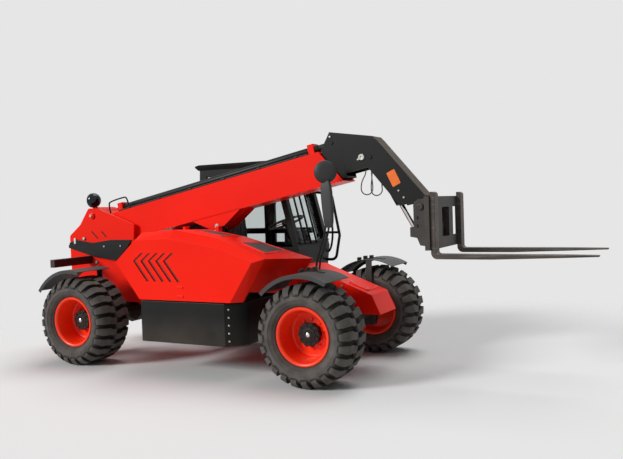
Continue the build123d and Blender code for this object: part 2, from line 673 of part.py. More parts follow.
def work_lamp():
    """Round lamp bowl on a stem at the tower's crown, facing the rear."""
    x, y, crown = PIVOT_X + 20, -SPINE_INNER - SPINE_PLATE / 2, PIVOT_Z + TOWER_CROWN_R
    r, deep = WORK_LAMP_R, WORK_LAMP_L
    stem = bar(x - 12, x + 12, y - 8, y + 8, crown, crown + WORK_LAMP_STEM + 12)
    bowl = [(0, 0), (deep * 0.7, 0), (deep * 0.7, r * 0.5), (deep * 0.25, r), (-deep * 0.3, r), (0, r - 8)]
    return stem + turned(bowl, 16, (x, y, crown + WORK_LAMP_STEM + r), (1, 0, 0))


def mirror_post():
    """Round mirror with a domed back, on a bent stalk beside the nose."""
    foot_x, y = FRONT_X + STALK_FOOT_X, MIRROR_AT[1]
    head = (FRONT_X + MIRROR_AT[0], y, MIRROR_AT[2])
    along = (STALK_FOOT_X + NOSE_BREAK) / (NOSE_REACH - NOSE_LEAN + NOSE_BREAK)
    top_z = NOSE_TOP_REAR + (NOSE_TOP_FRONT - NOSE_TOP_REAR) * along
    foot = bar(foot_x - 35, foot_x + 35, y - 20, -SPINE_HALF_W, top_z - 26, top_z - 14)
    kink, end = (foot_x, y, STALK_KINK_Z), (head[0] - 10, y, head[2] - MIRROR_R * 0.6)
    stalk = rod((foot_x, y, top_z - 20), kink, STALK_R) + rod(kink, end, STALK_R)
    stalk += Pos(*kink) * Sphere(STALK_R)
    dome = [(0, 0), (0, MIRROR_R), (MIRROR_T * 0.4, MIRROR_R), (MIRROR_T, MIRROR_R * 0.5), (MIRROR_T, 0)]
    return foot + stalk + turned(dome, 24, (head[0] - MIRROR_T / 2, y, head[2]), (1, 0, 0))


def side_box(side):
    """Tank or step box hung on the spine, with its front corner cut off."""
    y_in, y_out = side * SPINE_HALF_W, side * SIDE_HALF_W
    corner = side * (SIDE_HALF_W - TANK_CORNER_Y)
    outline = [
        (TANK_REAR_X, y_in), (TANK_REAR_X, y_out), (TANK_FRONT_X - TANK_CORNER_X, y_out),
        (TANK_FRONT_X, corner),
        (TANK_FRONT_X, y_in),
    ]
    return slab(outline, TANK_BOTTOM, TANK_TOP)


def step_box():
    """The left box, with the foothold cut into it under the door."""
    hold = bar(*STEP_X, SIDE_HALF_W - STEP_DEPTH, SIDE_HALF_W + 5, TANK_BOTTOM + 40, STEP_TOP)
    return side_box(1) - hold


def engine_block():
    """The engine as one plain block on the tank's top."""
    return bar(*ENGINE_X, -ENGINE_OUT_Y, -HOOD_INNER_Y - ENGINE_ROOM, TANK_TOP, ENGINE_TOP)


def engine_wall():
    """Wall between engine and boom, with the clevises and pins of the hood's hinges."""
    y0, y1 = -HOOD_INNER_Y + MOVING_GAP, -SPINE_HALF_W
    outline = [
        (TANK_REAR_X, TANK_TOP), (TANK_FRONT_X, TANK_TOP), (TANK_FRONT_X, WALL_FRONT_TOP),
        (WALL_BREAK_X, WALL_TOP),
        (TANK_REAR_X, WALL_TOP),
    ]
    wall = plate(outline, y0, y1)
    inside = HOOD_EYE_HALF_W + 1
    top = HOOD_HINGE_Z + HOOD_EYE_R
    for x in HOOD_HINGES:
        for x0 in (x - inside - CLEVIS_T, x + inside):
            wall += bar(x0, x0 + CLEVIS_T, y0, y1, WALL_TOP - PAD_EDGE, top)
        reach = inside + CLEVIS_T
        ends = [(x + s * reach, -HOOD_HINGE_Y, HOOD_HINGE_Z) for s in (-1, 1)]
        wall += rod(*ends, HOOD_PIN_R)
    return wall


# Hood
def hood_block(inset, past):
    """The hood's outer or inner form: flat facets between the side, the ridge and the valley by the boom."""
    stations = (
        (-SIDE_HALF_W + inset, HOOD_SIDE), (-SIDE_HALF_W + HOOD_BAND + inset, HOOD_RIDGE),
        (-HOOD_INNER_Y + past, HOOD_VALLEY),
    )
    count = len(HOOD_SIDE)
    draw_in = [(1.0, 0.0), (1.4, 0.0), (1.0, -1.0), (0.0, -1.0), (0.0, -1.0), (-1.2, -1.0), (-1.0, 0.0)]
    corners = []
    for y, outline in stations:
        for (x, z), (dx, dz) in zip(outline, draw_in):
            drop = 2.5 * inset if z == HOOD_BOTTOM else 0.0
            corners.append((x + dx * inset, y, z + dz * inset - drop))
    loops = [list(range(count)), list(range(2 * count, 3 * count))]
    for first in (0, count):
        for i in range(count):
            j = (i + 1) % count
            loops.append([first + i, first + j, first + count + j])
            loops.append([first + i, first + count + j, first + count + i])
    return flat_sided(corners, loops)


def louvre(number):
    """One arrow-shaped air slot in the hood's side, as a cutter."""
    x, z = LOUVRE_APEX[0] + number * LOUVRE_PITCH, LOUVRE_APEX[1]
    (ux, uz), (dx, dz) = LOUVRE_RISE, LOUVRE_FALL
    outline = [
        (x, z), (x + ux, z + uz), (x + ux + LOUVRE_W, z + uz), (x + LOUVRE_W, z),
        (x + dx + LOUVRE_W, z + dz), (x + dx, z + dz),
    ]
    return plate(outline, -SIDE_HALF_W - HOOD_WALL, -SIDE_HALF_W + 2 * HOOD_WALL)


def grille_slots(x0, x1, y0, y1):
    """A row of air slots in the hood's top between the given corners, as cutters."""
    pitch = GRILLE_BAR + GRILLE_SLOT
    count = int((x1 - x0 + GRILLE_BAR) / pitch)
    starts = [x0 + k * pitch for k in range(count)]
    return [bar(x, x + GRILLE_SLOT, y0, y1, HOOD_KNEE_Z, HOOD_HINGE_Z) for x in starts]


def hood():
    """Engine hood: a folded sheet shell, open below and towards the boom, with louvres and two grilles."""
    shell = hood_block(0, 0) - hood_block(HOOD_WALL, 2 * HOOD_WALL)
    shell -= [louvre(k) for k in range(LOUVRES)]
    for grille in GRILLES:
        shell -= grille_slots(*grille)
    inside = hood_block(HOOD_WALL / 2, 2 * HOOD_WALL)
    for x in HOOD_HINGES:
        eye = [(x + s * HOOD_EYE_HALF_W, -HOOD_HINGE_Y, HOOD_HINGE_Z) for s in (-1, 1)]
        root = -HOOD_INNER_Y - 60
        arm = bar(eye[0][0], eye[1][0], root, -HOOD_HINGE_Y, HOOD_HINGE_Z - 40, HOOD_HINGE_Z + HOOD_EYE_R - 2)
        arm += rod(*eye, HOOD_EYE_R)
        shell += arm - inside - rod(*eye, HOOD_PIN_R + BORE_CLEARANCE)
    return shell


# Cab
def cab_outline(inset):
    """Side outline of the cab in x and z, drawn in by the inset."""
    i = inset
    eaves = CAB_ROOF_Z - CAB_ROOF_T - i
    return [
        (CAB_SILL_X[0] + i, TANK_TOP + i), (CAB_SILL_X[1] - i, TANK_TOP + i),
        (CAB_KNEE_X[1] - i, CAB_WAIST_Z),
        (screen_x(eaves, i), eaves), (back_x(eaves, i), eaves), (CAB_KNEE_X[0] + i, CAB_REAR_KNEE_Z),
    ]


def screen_x(z, inset):
    """Where the windscreen's slope lies at a height, set back by the inset."""
    top = CAB_ROOF_Z - CAB_ROOF_T
    share = (z - CAB_WAIST_Z) / (top - CAB_WAIST_Z)
    return CAB_KNEE_X[1] + (CAB_EAVES_X[1] - CAB_KNEE_X[1]) * share - inset


def back_x(z, inset):
    """Where the cab's rear slope lies at a height, set forward by the inset."""
    top = CAB_ROOF_Z - CAB_ROOF_T
    share = (z - CAB_REAR_KNEE_Z) / (top - CAB_REAR_KNEE_Z)
    return CAB_KNEE_X[0] + (CAB_EAVES_X[0] - CAB_KNEE_X[0]) * share + inset


def side_window(rear, low, high, inset):
    """Outline of a side opening that runs forward to the windscreen post."""
    return [(rear, low), (screen_x(low, inset), low), (screen_x(high, inset), high), (rear, high)]


def doorway(gap):
    """Outline of the doorway, drawn in by the gap."""
    low, rear = DOORWAY_LOW + gap, DOORWAY_X + gap
    front_low = CAB_SILL_X[1] - CAB_POST + 12 - gap
    knee, high = screen_x(CAB_WAIST_Z, CAB_POST + gap), WINDOW_HIGH - gap
    front_high = screen_x(high, CAB_POST + gap)
    return [(rear, low), (front_low, low), (knee, CAB_WAIST_Z), (front_high, high), (rear, high)]


def cab_frame():
    """Posts, lower walls and floor of the cab, with window and door openings cut through."""
    y0, y1, w = CAB_RIGHT_Y, CAB_LEFT_Y, CAB_WALL
    body = plate(cab_outline(0), y0, y1) - plate(cab_outline(w), y0 + w, y1 - w)
    through = w + 10
    body -= plate(side_window(WINDOW_REAR_X, WINDOW_LOW, WINDOW_HIGH, CAB_POST), y0 - 10, y0 + through)
    rear_light = [
        (WINDOW_REAR_X, WINDOW_LOW), (DOOR_POST_X, WINDOW_LOW), (DOOR_POST_X, WINDOW_HIGH),
        (WINDOW_REAR_X, WINDOW_HIGH),
    ]
    body -= plate(rear_light, y1 - through, y1 + 10) + plate(doorway(0), y1 - through, y1 + 10)
    screen_low, rear_low = CAB_WAIST_Z + 50, CAB_REAR_KNEE_Z + 10
    across = (y0 + CAB_POST, y1 - CAB_POST)
    body -= bar(CAB_EAVES_X[1] - 90, CAB_KNEE_X[1] + 100, *across, screen_low, WINDOW_HIGH)
    body -= bar(CAB_KNEE_X[0] - w, CAB_KNEE_X[0] + 3 * w, y0 + CAB_POST, y1 - CAB_POST, rear_low, WINDOW_HIGH)
    return body + door_hinges()


def cab_roof():
    """Roof cap with bevelled edges and an overhang to the rear and over the windscreen."""
    z0, z1 = CAB_ROOF_Z - CAB_ROOF_T, CAB_ROOF_Z
    x0, x1 = CAB_EAVES_X[0] - ROOF_REAR, CAB_EAVES_X[1] + ROOF_FRONT
    outline = [
        (x0, z1 - 12), (x0 + 10, z1 - 30), (CAB_EAVES_X[0] - 20, z0), (CAB_EAVES_X[1] + 20, z0),
        (x1, z1 - 30), (x1 - 40, z1), (x0 + 40, z1),
    ]
    cap = plate(outline, CAB_RIGHT_Y, CAB_LEFT_Y)
    return chamfer(cap.faces().sort_by(Axis.Z)[-1].edges().filter_by(Axis.X), ROOF_CHAMFER)


def cab_glass():
    """Right, rear and front panes set against the inside of the openings."""
    lap, w, t = GLASS_LAP, CAB_WALL, GLASS_T
    low, high, rear = WINDOW_LOW - lap, WINDOW_HIGH + lap, WINDOW_REAR_X - lap
    right = plate(side_window(rear, low, high, CAB_POST - lap + 5), CAB_RIGHT_Y + w, CAB_RIGHT_Y + w + t)
    front = DOOR_POST_X + lap - 5
    left = plate([(rear, low), (front, low), (front, high), (rear, high)], CAB_LEFT_Y - w - t, CAB_LEFT_Y - w)
    y0, y1 = CAB_RIGHT_Y + w + t + SEAT_GAP, CAB_LEFT_Y - w - t - SEAT_GAP
    seat = w + SEAT_GAP
    z0, z1 = CAB_REAR_KNEE_Z + 4, WINDOW_HIGH + lap
    back_points = [
        (back_x(z0, seat), z0), (back_x(z0, seat + t), z0), (back_x(z1, seat + t), z1),
        (back_x(z1, seat), z1),
    ]
    z0 = CAB_WAIST_Z + 40
    screen_points = [
        (screen_x(z0, seat + t), z0), (screen_x(z0, seat), z0), (screen_x(z1, seat), z1),
        (screen_x(z1, seat + t), z1),
    ]
    return right + left + plate(back_points, y0, y1) + plate(screen_points, y0, y1)


def door_window(inset):
    """Outline of the door's window, drawn in by the inset."""
    low, high = CAB_WAIST_Z + 35 + inset, WINDOW_HIGH - DOOR_GAP - DOOR_RAIL + 6 - inset
    return side_window(DOORWAY_X + DOOR_GAP + DOOR_RAIL + inset, low, high, CAB_POST + DOOR_RAIL + inset)


def door_glass():
    """Pane in the door."""
    return plate(door_window(-10), CAB_LEFT_Y - CAB_WALL - GLASS_T, CAB_LEFT_Y - CAB_WALL)


def door():
    """Door frame with its window cut out and its hinge leaves."""
    y0 = CAB_LEFT_Y - CAB_WALL
    frame = plate(doorway(DOOR_GAP), y0, y0 + DOOR_T) - plate(door_window(0), y0 - 10, y0 + DOOR_T + 10)
    x, y = DOOR_HINGE_X, DOOR_HINGE_Y
    for z in DOOR_HINGES:
        leaf = bar(x, x + 60, y0 + DOOR_T, y + 8, z - 15, z + 15)
        leaf += rod((x, y, z - 15), (x, y, z + 15), DOOR_EYE_R)
        frame += leaf - rod((x, y, z - 20), (x, y, z + 20), DOOR_PIN_R + BORE_CLEARANCE)
    return frame


def door_hinges():
    """Hinge posts on the cab that carry the door's pins."""
    x, y = DOOR_HINGE_X, DOOR_HINGE_Y
    posts = []
    for z in DOOR_HINGES:
        posts.append(bar(x - 40, x, CAB_LEFT_Y, y + 8, z - 45, z - 16))
        posts.append(rod((x, y, z - 45), (x, y, z - 16), DOOR_EYE_R))
        posts.append(rod((x, y, z - 45), (x, y, z + 14), DOOR_PIN_R))
    return posts


def grab_rail():
    """Bent tube at the cab's left front corner, from the windscreen post to the sill, with a cross bar."""
    y = CAB_LEFT_Y - CAB_WALL
    high, low = CAB_WAIST_Z + 560, TANK_TOP + 236
    out = CAB_KNEE_X[1] + 3 * RAIL_OUT
    path = FilletPolyline(
        (screen_x(high, RAIL_R), y, high), (out - 65, y, high - 30), (out + 15, y, CAB_WAIST_Z + 100),
        (out - 35, y, low), (CAB_KNEE_X[1] - RAIL_OUT, y, low), radius=60,
    )
    rail = sweep(Plane(origin=path @ 0, z_dir=path % 0) * RegularPolygon(RAIL_R, 8), path=path)
    bar_z = CAB_WAIST_Z + 130
    rail += bar(screen_x(bar_z, 10), out, y - 8, y + 8, bar_z - 12, bar_z + 12)
    return rail - plate(cab_outline(0), CAB_RIGHT_Y, CAB_LEFT_Y)


def seat_base():
    """Seat box on the cab floor."""
    y0, y1 = SEAT_Y - SEAT_HALF_W + 20, SEAT_Y + SEAT_HALF_W - 20
    return bar(SEAT_X + 10, SEAT_X + SEAT_L - 80, y0, y1, TANK_TOP + CAB_WALL, SEAT_Z)


def seat_cushion():
    """Cushion and back rest."""
    y0, y1 = SEAT_Y - SEAT_HALF_W, SEAT_Y + SEAT_HALF_W
    top = SEAT_Z + SEAT_T
    cushion = bar(SEAT_X, SEAT_X + SEAT_L, y0, y1, SEAT_Z, top)
    heel = SEAT_X - 20
    lean_back = heel - BACK_LEAN
    back = [(heel, top), (heel + BACK_T, top), (lean_back + BACK_T, top + BACK_H), (lean_back, top + BACK_H)]
    return cushion + plate(back, y0 + 10, y1 - 10)


def steering_column():
    """Dash column with the steering wheel on its sloping shaft: a ring, two spokes and a boss."""
    x, y, z = WHEEL_AT
    floor = TANK_TOP + CAB_WALL
    outline = [(x + 65, floor), (x + 225, floor), (x + 205, z - 230), (x + 105, z - 160), (x + 45, z - 210)]
    column = plate(outline, y - COLUMN_HALF_W, y + COLUMN_HALF_W)
    axis = (-sin(radians(WHEEL_TILT)), 0, cos(radians(WHEEL_TILT)))
    shaft = rod((x - axis[0] * 214, y, z - axis[2] * 214), WHEEL_AT, 20)
    r, t = WHEEL_RING_R, WHEEL_RING_T / 2
    across = (cos(radians(WHEEL_TILT)), 0, sin(radians(WHEEL_TILT)))
    ring = turned([(0, r - t), (-t, r), (0, r + t), (t, r)], 20, WHEEL_AT, axis, across)
    boss = turned([(-10, 0), (12, 0), (12, 32), (-10, 38)], 12, WHEEL_AT, axis, across)
    spokes = Plane(origin=WHEEL_AT, x_dir=(0, 1, 0), z_dir=axis) * Box(2 * r, WHEEL_RING_T, t)
    return column + shaft + ring + boss + spokes


# Boom
def outer_boom():
    """Box tube with a slanted mouth, pivot ears at the rear, lift lugs below and cylinder clamps on top."""
    cut, w = BOOM_REAR_CUT, BOOM_WALL
    top, bottom, half = BOOM_TOP_N, BOOM_BOTTOM_N, BOOM_HALF_W
    outline = [
        (BOOM_REAR_U, bottom + cut), (BOOM_REAR_U + 6 * cut, bottom), (MOUTH_BOTTOM_U, bottom),
        (MOUTH_TOP_U, top),
        (BOOM_REAR_U, top),
    ]
    past, bore_rear = MOUTH_BOTTOM_U + MOUTH_SLANT, BOOM_REAR_U + cut
    bore = [
        (bore_rear, bottom + w + cut), (bore_rear + 6 * cut, bottom + w), (past, bottom + w),
        (past, top - w), (bore_rear, top - w),
    ]
    tube = boom_plate(outline, -half, half) - boom_plate(bore, w - half, half - w)
    root = BOOM_REAR_U + PAD_EDGE
    ears = [(0, -PIVOT_BOSS_R), (root, bottom + cut), (root, top), (0, PIVOT_BOSS_R)]
    tube += boom_plate(ears, -half, half)
    tube += cross_pin(PIVOT_X, PIVOT_Z, -half, half, PIVOT_BOSS_R)
    tube -= cross_pin(PIVOT_X, PIVOT_Z, -half - 5, half + 5, PIVOT_PIN_R + BORE_CLEARANCE)
    tube += both_sides(lift_lug())
    u0, u1 = MOUTH_TOP_U - PAD_L - PAD_EDGE, MOUTH_TOP_U - PAD_EDGE
    inner = half - INNER_STEP
    tube += boom_block(u0, u1, top - INNER_STEP + SEAT_GAP, top - w, PAD_EDGE - inner, inner - PAD_EDGE)
    tube += boom_block(u0, u1, bottom + w, bottom + INNER_STEP - SEAT_GAP, PAD_EDGE - inner, inner - PAD_EDGE)
    low, high = bottom + 3 * PAD_EDGE, top - 3 * PAD_EDGE
    tube += both_sides(boom_block(u0, u1, low, high, inner + SEAT_GAP, half - w))
    for u in (TELE_REAR_U + PAD_EDGE, TELE_GLAND_U - 1.5 * CLAMP_L):
        wide = TELE_BARREL_R + CLAMP_WALL
        clamp = boom_block(u, u + CLAMP_L, top, TELE_N + wide, -wide, wide)
        tube += clamp - boom_rod(u - 10, u + CLAMP_L + 10, TELE_N, TELE_BARREL_R + SEAT_GAP)
    return tube


def lift_lug():
    """Three-cornered lug under the boom with the boss of the lift cylinder's rod eye."""
    u, low, root = LIFT_PIN_U, LIFT_PIN_N - LIFT_LUG_DROP, BOOM_BOTTOM_N + 2
    y0, y1 = LIFT_LUG_GAP / 2, LIFT_LUG_GAP / 2 + LIFT_LUG_T
    outline = [(u - LIFT_LUG_REAR, root), (u - 14, low), (u + 20, low), (u + LIFT_LUG_FRONT, root)]
    lug = boom_plate(outline, y0, y1)
    return lug + cross_pin(*boom_point(u, LIFT_PIN_N), y0, y1 + 8, LIFT_EYE_R)


def telescope_barrel():
    """Telescope cylinder's tube on the boom's back, bored for its rod."""
    tube = boom_rod(TELE_REAR_U, TELE_GLAND_U, TELE_N, TELE_BARREL_R)
    tube -= boom_rod(TELE_REAR_U + GLAND_L, TELE_GLAND_U - GLAND_L, TELE_N, TELE_ROD_R + 8)
    return tube - boom_rod(TELE_REAR_U + GLAND_L, TELE_GLAND_U + 5, TELE_N, TELE_ROD_R + BORE_CLEARANCE)


def head_outline():
    """Side outline of the cranked head in boom coordinates, from the mouth to the fork hinge."""
    steps = (HEAD_NOSE, HEAD_BROW, HEAD_TIP, HEAD_CHIN, HEAD_THROAT)
    ahead = [(MOUTH_TOP_U + du, BOOM_TOP_N + dn) for du, dn in steps]
    return [(MOUTH_TOP_U + MOUTH_GAP, BOOM_TOP_N + 5)] + ahead + [(MOUTH_BOTTOM_U - 20, BOOM_BOTTOM_N + 60)]


def inner_boom():
    """Inner tube with the cranked head: two cheeks, a folded front plate, the hinge tube and its pins."""
    top, bottom, half = BOOM_TOP_N - INNER_STEP, BOOM_BOTTOM_N + INNER_STEP, BOOM_HALF_W - INNER_STEP
    w, rear, front = INNER_WALL, INNER_REAR_U, INNER_FRONT_U
    tube = boom_block(rear, front, bottom, top, -half, half)
    tube -= boom_block(rear - 5, front + 5, bottom + w, top - w, w - half, half - w)
    outline = head_outline()
    cheek = boom_plate(outline, HEAD_HALF_W - HEAD_PLATE, HEAD_HALF_W)
    cheek += cross_pin(HINGE_X, HINGE_Z, HEAD_HALF_W - HEAD_PLATE, HEAD_HALF_W, HEAD_BOSS_R)
    nose, brow, tip = outline[1:4]
    start = (nose[0] + 60, nose[1] - 22)
    stop = (brow[0] + (tip[0] - brow[0]) * 0.93, brow[1] + (tip[1] - brow[1]) * 0.93)
    t = HEAD_PLATE
    fold = [
        start, brow, stop, (stop[0] - t, stop[1] - t / 2), (brow[0] - t / 2, brow[1] - t),
        (start[0] - t / 4, start[1] - t),
    ]
    tube += both_sides(cheek) + boom_plate(fold, -HEAD_HALF_W, HEAD_HALF_W)
    tube += cross_pin(*TILT_PIVOT, -HEAD_HALF_W - 8, HEAD_HALF_W + 8, TILT_PIN_R)
    tube += both_sides(cross_pin(*TILT_PIVOT, TILT_EYE_W / 2 + MOVING_GAP, HEAD_HALF_W, TILT_BARREL_R - 4))
    tube += cross_pin(*boom_point(TELE_PIN_U, TELE_N), -HEAD_HALF_W - 8, HEAD_HALF_W + 8, TELE_PIN_R)
    clip_in = TILT_EYE_W / 2 + MOVING_GAP
    for ahead, _, drop in (HOSE_RIGHT[0], HOSE_RIGHT[-1], HOSE_LEFT[-1]):
        x, z = from_mouth(ahead, drop)
        tube += bar(x - CLIP_HALF_L, x + CLIP_HALF_L, -HEAD_HALF_W + 2, -clip_in, z, z + CLIP_H)
    rise = INNER_GAP - SEAT_GAP
    tube += boom_block(rear, rear + PAD_L, top, top + rise, PAD_EDGE - half, half - PAD_EDGE)
    tube += boom_block(rear, rear + PAD_L, bottom - rise, bottom, PAD_EDGE - half, half - PAD_EDGE)
    low, high = bottom + 2 * PAD_EDGE, top - 2 * PAD_EDGE
    tube += both_sides(boom_block(rear, rear + PAD_L, low, high, half, half + rise))
    tube += cross_pin(HINGE_X, HINGE_Z, -HEAD_HALF_W, HEAD_HALF_W, HINGE_BOSS_R)
    return tube - cross_pin(HINGE_X, HINGE_Z, -HEAD_HALF_W - 5, HEAD_HALF_W + 5, HINGE_PIN_R + BORE_CLEARANCE)


def telescope_rod():
    """Telescope rod with its piston, ending at the head's top lug."""
    start = TELE_GLAND_U - TELE_STROKE - 1.5 * GLAND_L
    x, z = boom_point(TELE_PIN_U, TELE_N)
    shape = boom_rod(start, TELE_PIN_U, TELE_N, TELE_ROD_R)
    shape += cross_pin(x, z, -TELE_EYE_HALF_W, TELE_EYE_HALF_W, TELE_PIN_R + 16)
    return shape - cross_pin(x, z, -40, 40, TELE_PIN_R + BORE_CLEARANCE)


def hose(route):
    """A hose along hand-chosen points; each bend is as large as its two runs allow."""
    points = []
    for ahead, y, drop in route:
        x, z = from_mouth(ahead, drop)
        points.append((x, y, z))
    runs = [Vector(*b) - Vector(*a) for a, b in zip(points, points[1:])]
    radii = []
    for before, after in zip(runs, runs[1:]):
        half_turn = radians(before.get_angle(after)) / 2
        radii.append(0.45 * min(before.length, after.length) / tan(half_turn))
    print("hose bend radii", [round(r) for r in radii])
    path = FilletPolyline(*points, radius=radii)
    return sweep(Plane(origin=path @ 0, z_dir=path % 0) * RegularPolygon(HOSE_R, HOSE_SIDES), path=path)


# Fork carriage
def carriage():
    """Fork frame: two ears with the hinge pin, two cross bars and uprights."""
    ear_in = HEAD_HALF_W + EAR_GAP
    x0, x1 = CARRIAGE_BACK_X, CARRIAGE_BACK_X + CARRIAGE_BAR_T
    z0, z1 = CARRIAGE_BOTTOM_Z, CARRIAGE_TOP_Z
    ear_points = [
        (HINGE_X - EAR_REACH, HINGE_Z + 30), (HINGE_X - 20, HINGE_Z + EAR_REACH), (x0, z1 - 10), (x0, z0),
        (HINGE_X - 10, z0 + 20), (HINGE_X - EAR_REACH, HINGE_Z - 200),
    ]
    frame = both_sides(plate(ear_points, ear_in, ear_in + EAR_T))
    reach = ear_in + EAR_T + 10
    frame += cross_pin(HINGE_X, HINGE_Z, -reach, reach, HINGE_PIN_R)
    w = CARRIAGE_HALF_W
    frame += bar(x0, x1, -w, w, z1 - CARRIAGE_BAR_H, z1) + bar(x0, x1, -w, w, z0, z0 + CARRIAGE_BAR_H)
    upright = bar(x0, x1, ear_in - 12, ear_in - 6 + CARRIAGE_UPRIGHT, z0, z1)
    frame += both_sides(upright + bar(x0, x1, w - CARRIAGE_EDGE, w, z0, z1))
    ex, ez = TILT_EYE
    lug = [(ex - 40, ez - 40), (ex - 40, ez + 40), (x0, ez + 70), (x0, ez - 90)]
    return frame + both_sides(plate(lug, TILT_LUG_IN, TILT_LUG_IN + TILT_LUG_T))


def fork(side):
    """Forged fork: rounded heel, hooked top, and a blade that tapers in height and width to its tip."""
    back, front, tip, z = FORK_BACK_X, FORK_FRONT_X, FORK_TIP_X, FORK_BLADE_Z
    taper_x, top = back + FORK_LENGTH * FORK_TAPER, z + FORK_T
    outline = [
        (back, FORK_TOP_Z), (back, z), (taper_x, z), (tip, top - FORK_TIP_T - 6), (tip, top - 6),
        (taper_x, top),
        (front, top), (front, FORK_TOP_Z),
    ]
    rounded = ((0, 8), (1, FORK_HEEL_R + 16), (6, FORK_HEEL_R - 10), (7, FORK_HOOK_R))
    y = side * FORK_SPACING / 2
    w, narrow, neck = FORK_W / 2, FORK_TIP_W / 2, tip - FORK_TIP_L
    past = 5
    plan = [
        (back - past, y - w), (neck, y - w), (tip + past, y - narrow), (tip + past, y + narrow),
        (neck, y + w), (back - past, y + w),
    ]
    return plate(outline, y - w, y + w, rounded) & slab(plan, z - 5, FORK_TOP_Z + 5)


# Cylinders
def barrel(a, b, length, r, rod_r, eye_r, width):
    """Cylinder tube from its base eye at a, pointing at b, bored for its rod."""
    start, gland, end = between(a, b, eye_r * 0.6), between(a, b, length - GLAND_L), between(a, b, length)
    deep, past = between(a, b, eye_r + GLAND_L + 10), between(a, b, length + 5)
    tube = rod((start[0], 0, start[1]), (end[0], 0, end[1]), r)
    tube += cross_pin(a[0], a[1], -width / 2, width / 2, eye_r)
    tube -= rod((deep[0], 0, deep[1]), (gland[0], 0, gland[1]), rod_r + 8)
    return tube - rod((deep[0], 0, deep[1]), (past[0], 0, past[1]), rod_r + BORE_CLEARANCE)


def piston_rod(a, b, reach, r, eye_r, width):
    """Chromed rod that reaches from inside the tube to its eye at b."""
    start = between(b, a, reach)
    shaft = rod((start[0], 0, start[1]), (b[0], 0, b[1]), r)
    return shaft + cross_pin(b[0], b[1], -width / 2, width / 2, eye_r)


def lift_barrel(a, b):
    """Lift cylinder's tube, with the bore of its base pin."""
    tube = barrel(a, b, LIFT_BARREL_L, LIFT_BARREL_R, LIFT_ROD_R, LIFT_BASE_EYE_R, LIFT_EYE_W)
    return tube - cross_pin(*a, -LIFT_EYE_W, LIFT_EYE_W, LIFT_ROD_R + BORE_CLEARANCE)


def tilt_barrel():
    """Tilt cylinder's tube, with the bore of its upper pin."""
    tube = barrel(TILT_PIVOT, TILT_EYE, TILT_BARREL_L, TILT_BARREL_R, TILT_ROD_R, TILT_BASE_EYE_R, TILT_EYE_W)
    return tube - cross_pin(*TILT_PIVOT, -TILT_EYE_W, TILT_EYE_W, TILT_PIN_R + BORE_CLEARANCE)


def main():
    os.makedirs("parts", exist_ok=True)
    lift_a, lift_b = (LIFT_BASE_X, LIFT_BASE_Z), boom_point(LIFT_PIN_U, LIFT_PIN_N)
    nodes = {
        "main_frame": main_frame(),
        "boom_tower": boom_tower(),
        "front_nose": front_nose(),
        "side_tank": side_box(-1),
        "step_box": step_box(),
        "engine_block": engine_block(),
        "engine_wall": engine_wall(),
        "drive_line": drive_line(),
        "side_trims": side_trims(),
        "tail_lamps": tail_lamps(),
        "work_lamp": work_lamp(),
        "mirror_post": mirror_post(),
        "front_axle": axle(FRONT_X, NOSE_BOTTOM),
        "rear_axle": axle(0, AXLE_ARCH_Z),
        "seat_base": seat_base(),
        "seat_cushion": seat_cushion(),
        "steering_column": steering_column(),
        "cab_frame": cab_frame(),
        "cab_roof": cab_roof(),
        "cab_glass": cab_glass(),
        "grab_rail": grab_rail(),
        "cab_door": door(),
        "door_glass": door_glass(),
        "hood": hood(),
        "outer_boom": outer_boom(),
        "telescope_barrel": telescope_barrel(),
        "inner_boom": inner_boom(),
        "telescope_rod": telescope_rod(),
        "hose_right": hose(HOSE_RIGHT),
        "hose_left": hose(HOSE_LEFT),
        "carriage": carriage(),
        "forks": both_sides(fork(1)),
        "lift_barrel": lift_barrel(lift_a, lift_b),
        "lift_rod": piston_rod(lift_a, lift_b, LIFT_ROD_REACH, LIFT_ROD_R, LIFT_EYE_R, LIFT_ROD_EYE_W),
        "tilt_barrel": tilt_barrel(),
        "tilt_rod": piston_rod(TILT_PIVOT, TILT_EYE, TILT_ROD_REACH, TILT_ROD_R, TILT_EYE_R, TILT_ROD_EYE_W),
    }
    for label, x, arc in (("front", FRONT_X, FRONT_FENDER_ARC), ("rear", 0.0, REAR_FENDER_ARC)):
        for hand, side in (("right", -1), ("left", 1)):
            nodes[f"tyre_{label}_{hand}"] = tyre(x, side)
            nodes[f"rim_{label}_{hand}"] = rim(x, side)
            nodes[f"knuckle_{label}_{hand}"] = knuckle(x, side)
            nodes[f"fender_{label}_{hand}"] = fender(x, side, arc)
    for name, shape in nodes.items():
        export_step(Pos(ORIGIN_SHIFT, 0, 0) * shape, os.path.join("parts", name + ".step"))


if __name__ == "__main__":
    main()
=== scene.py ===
import math

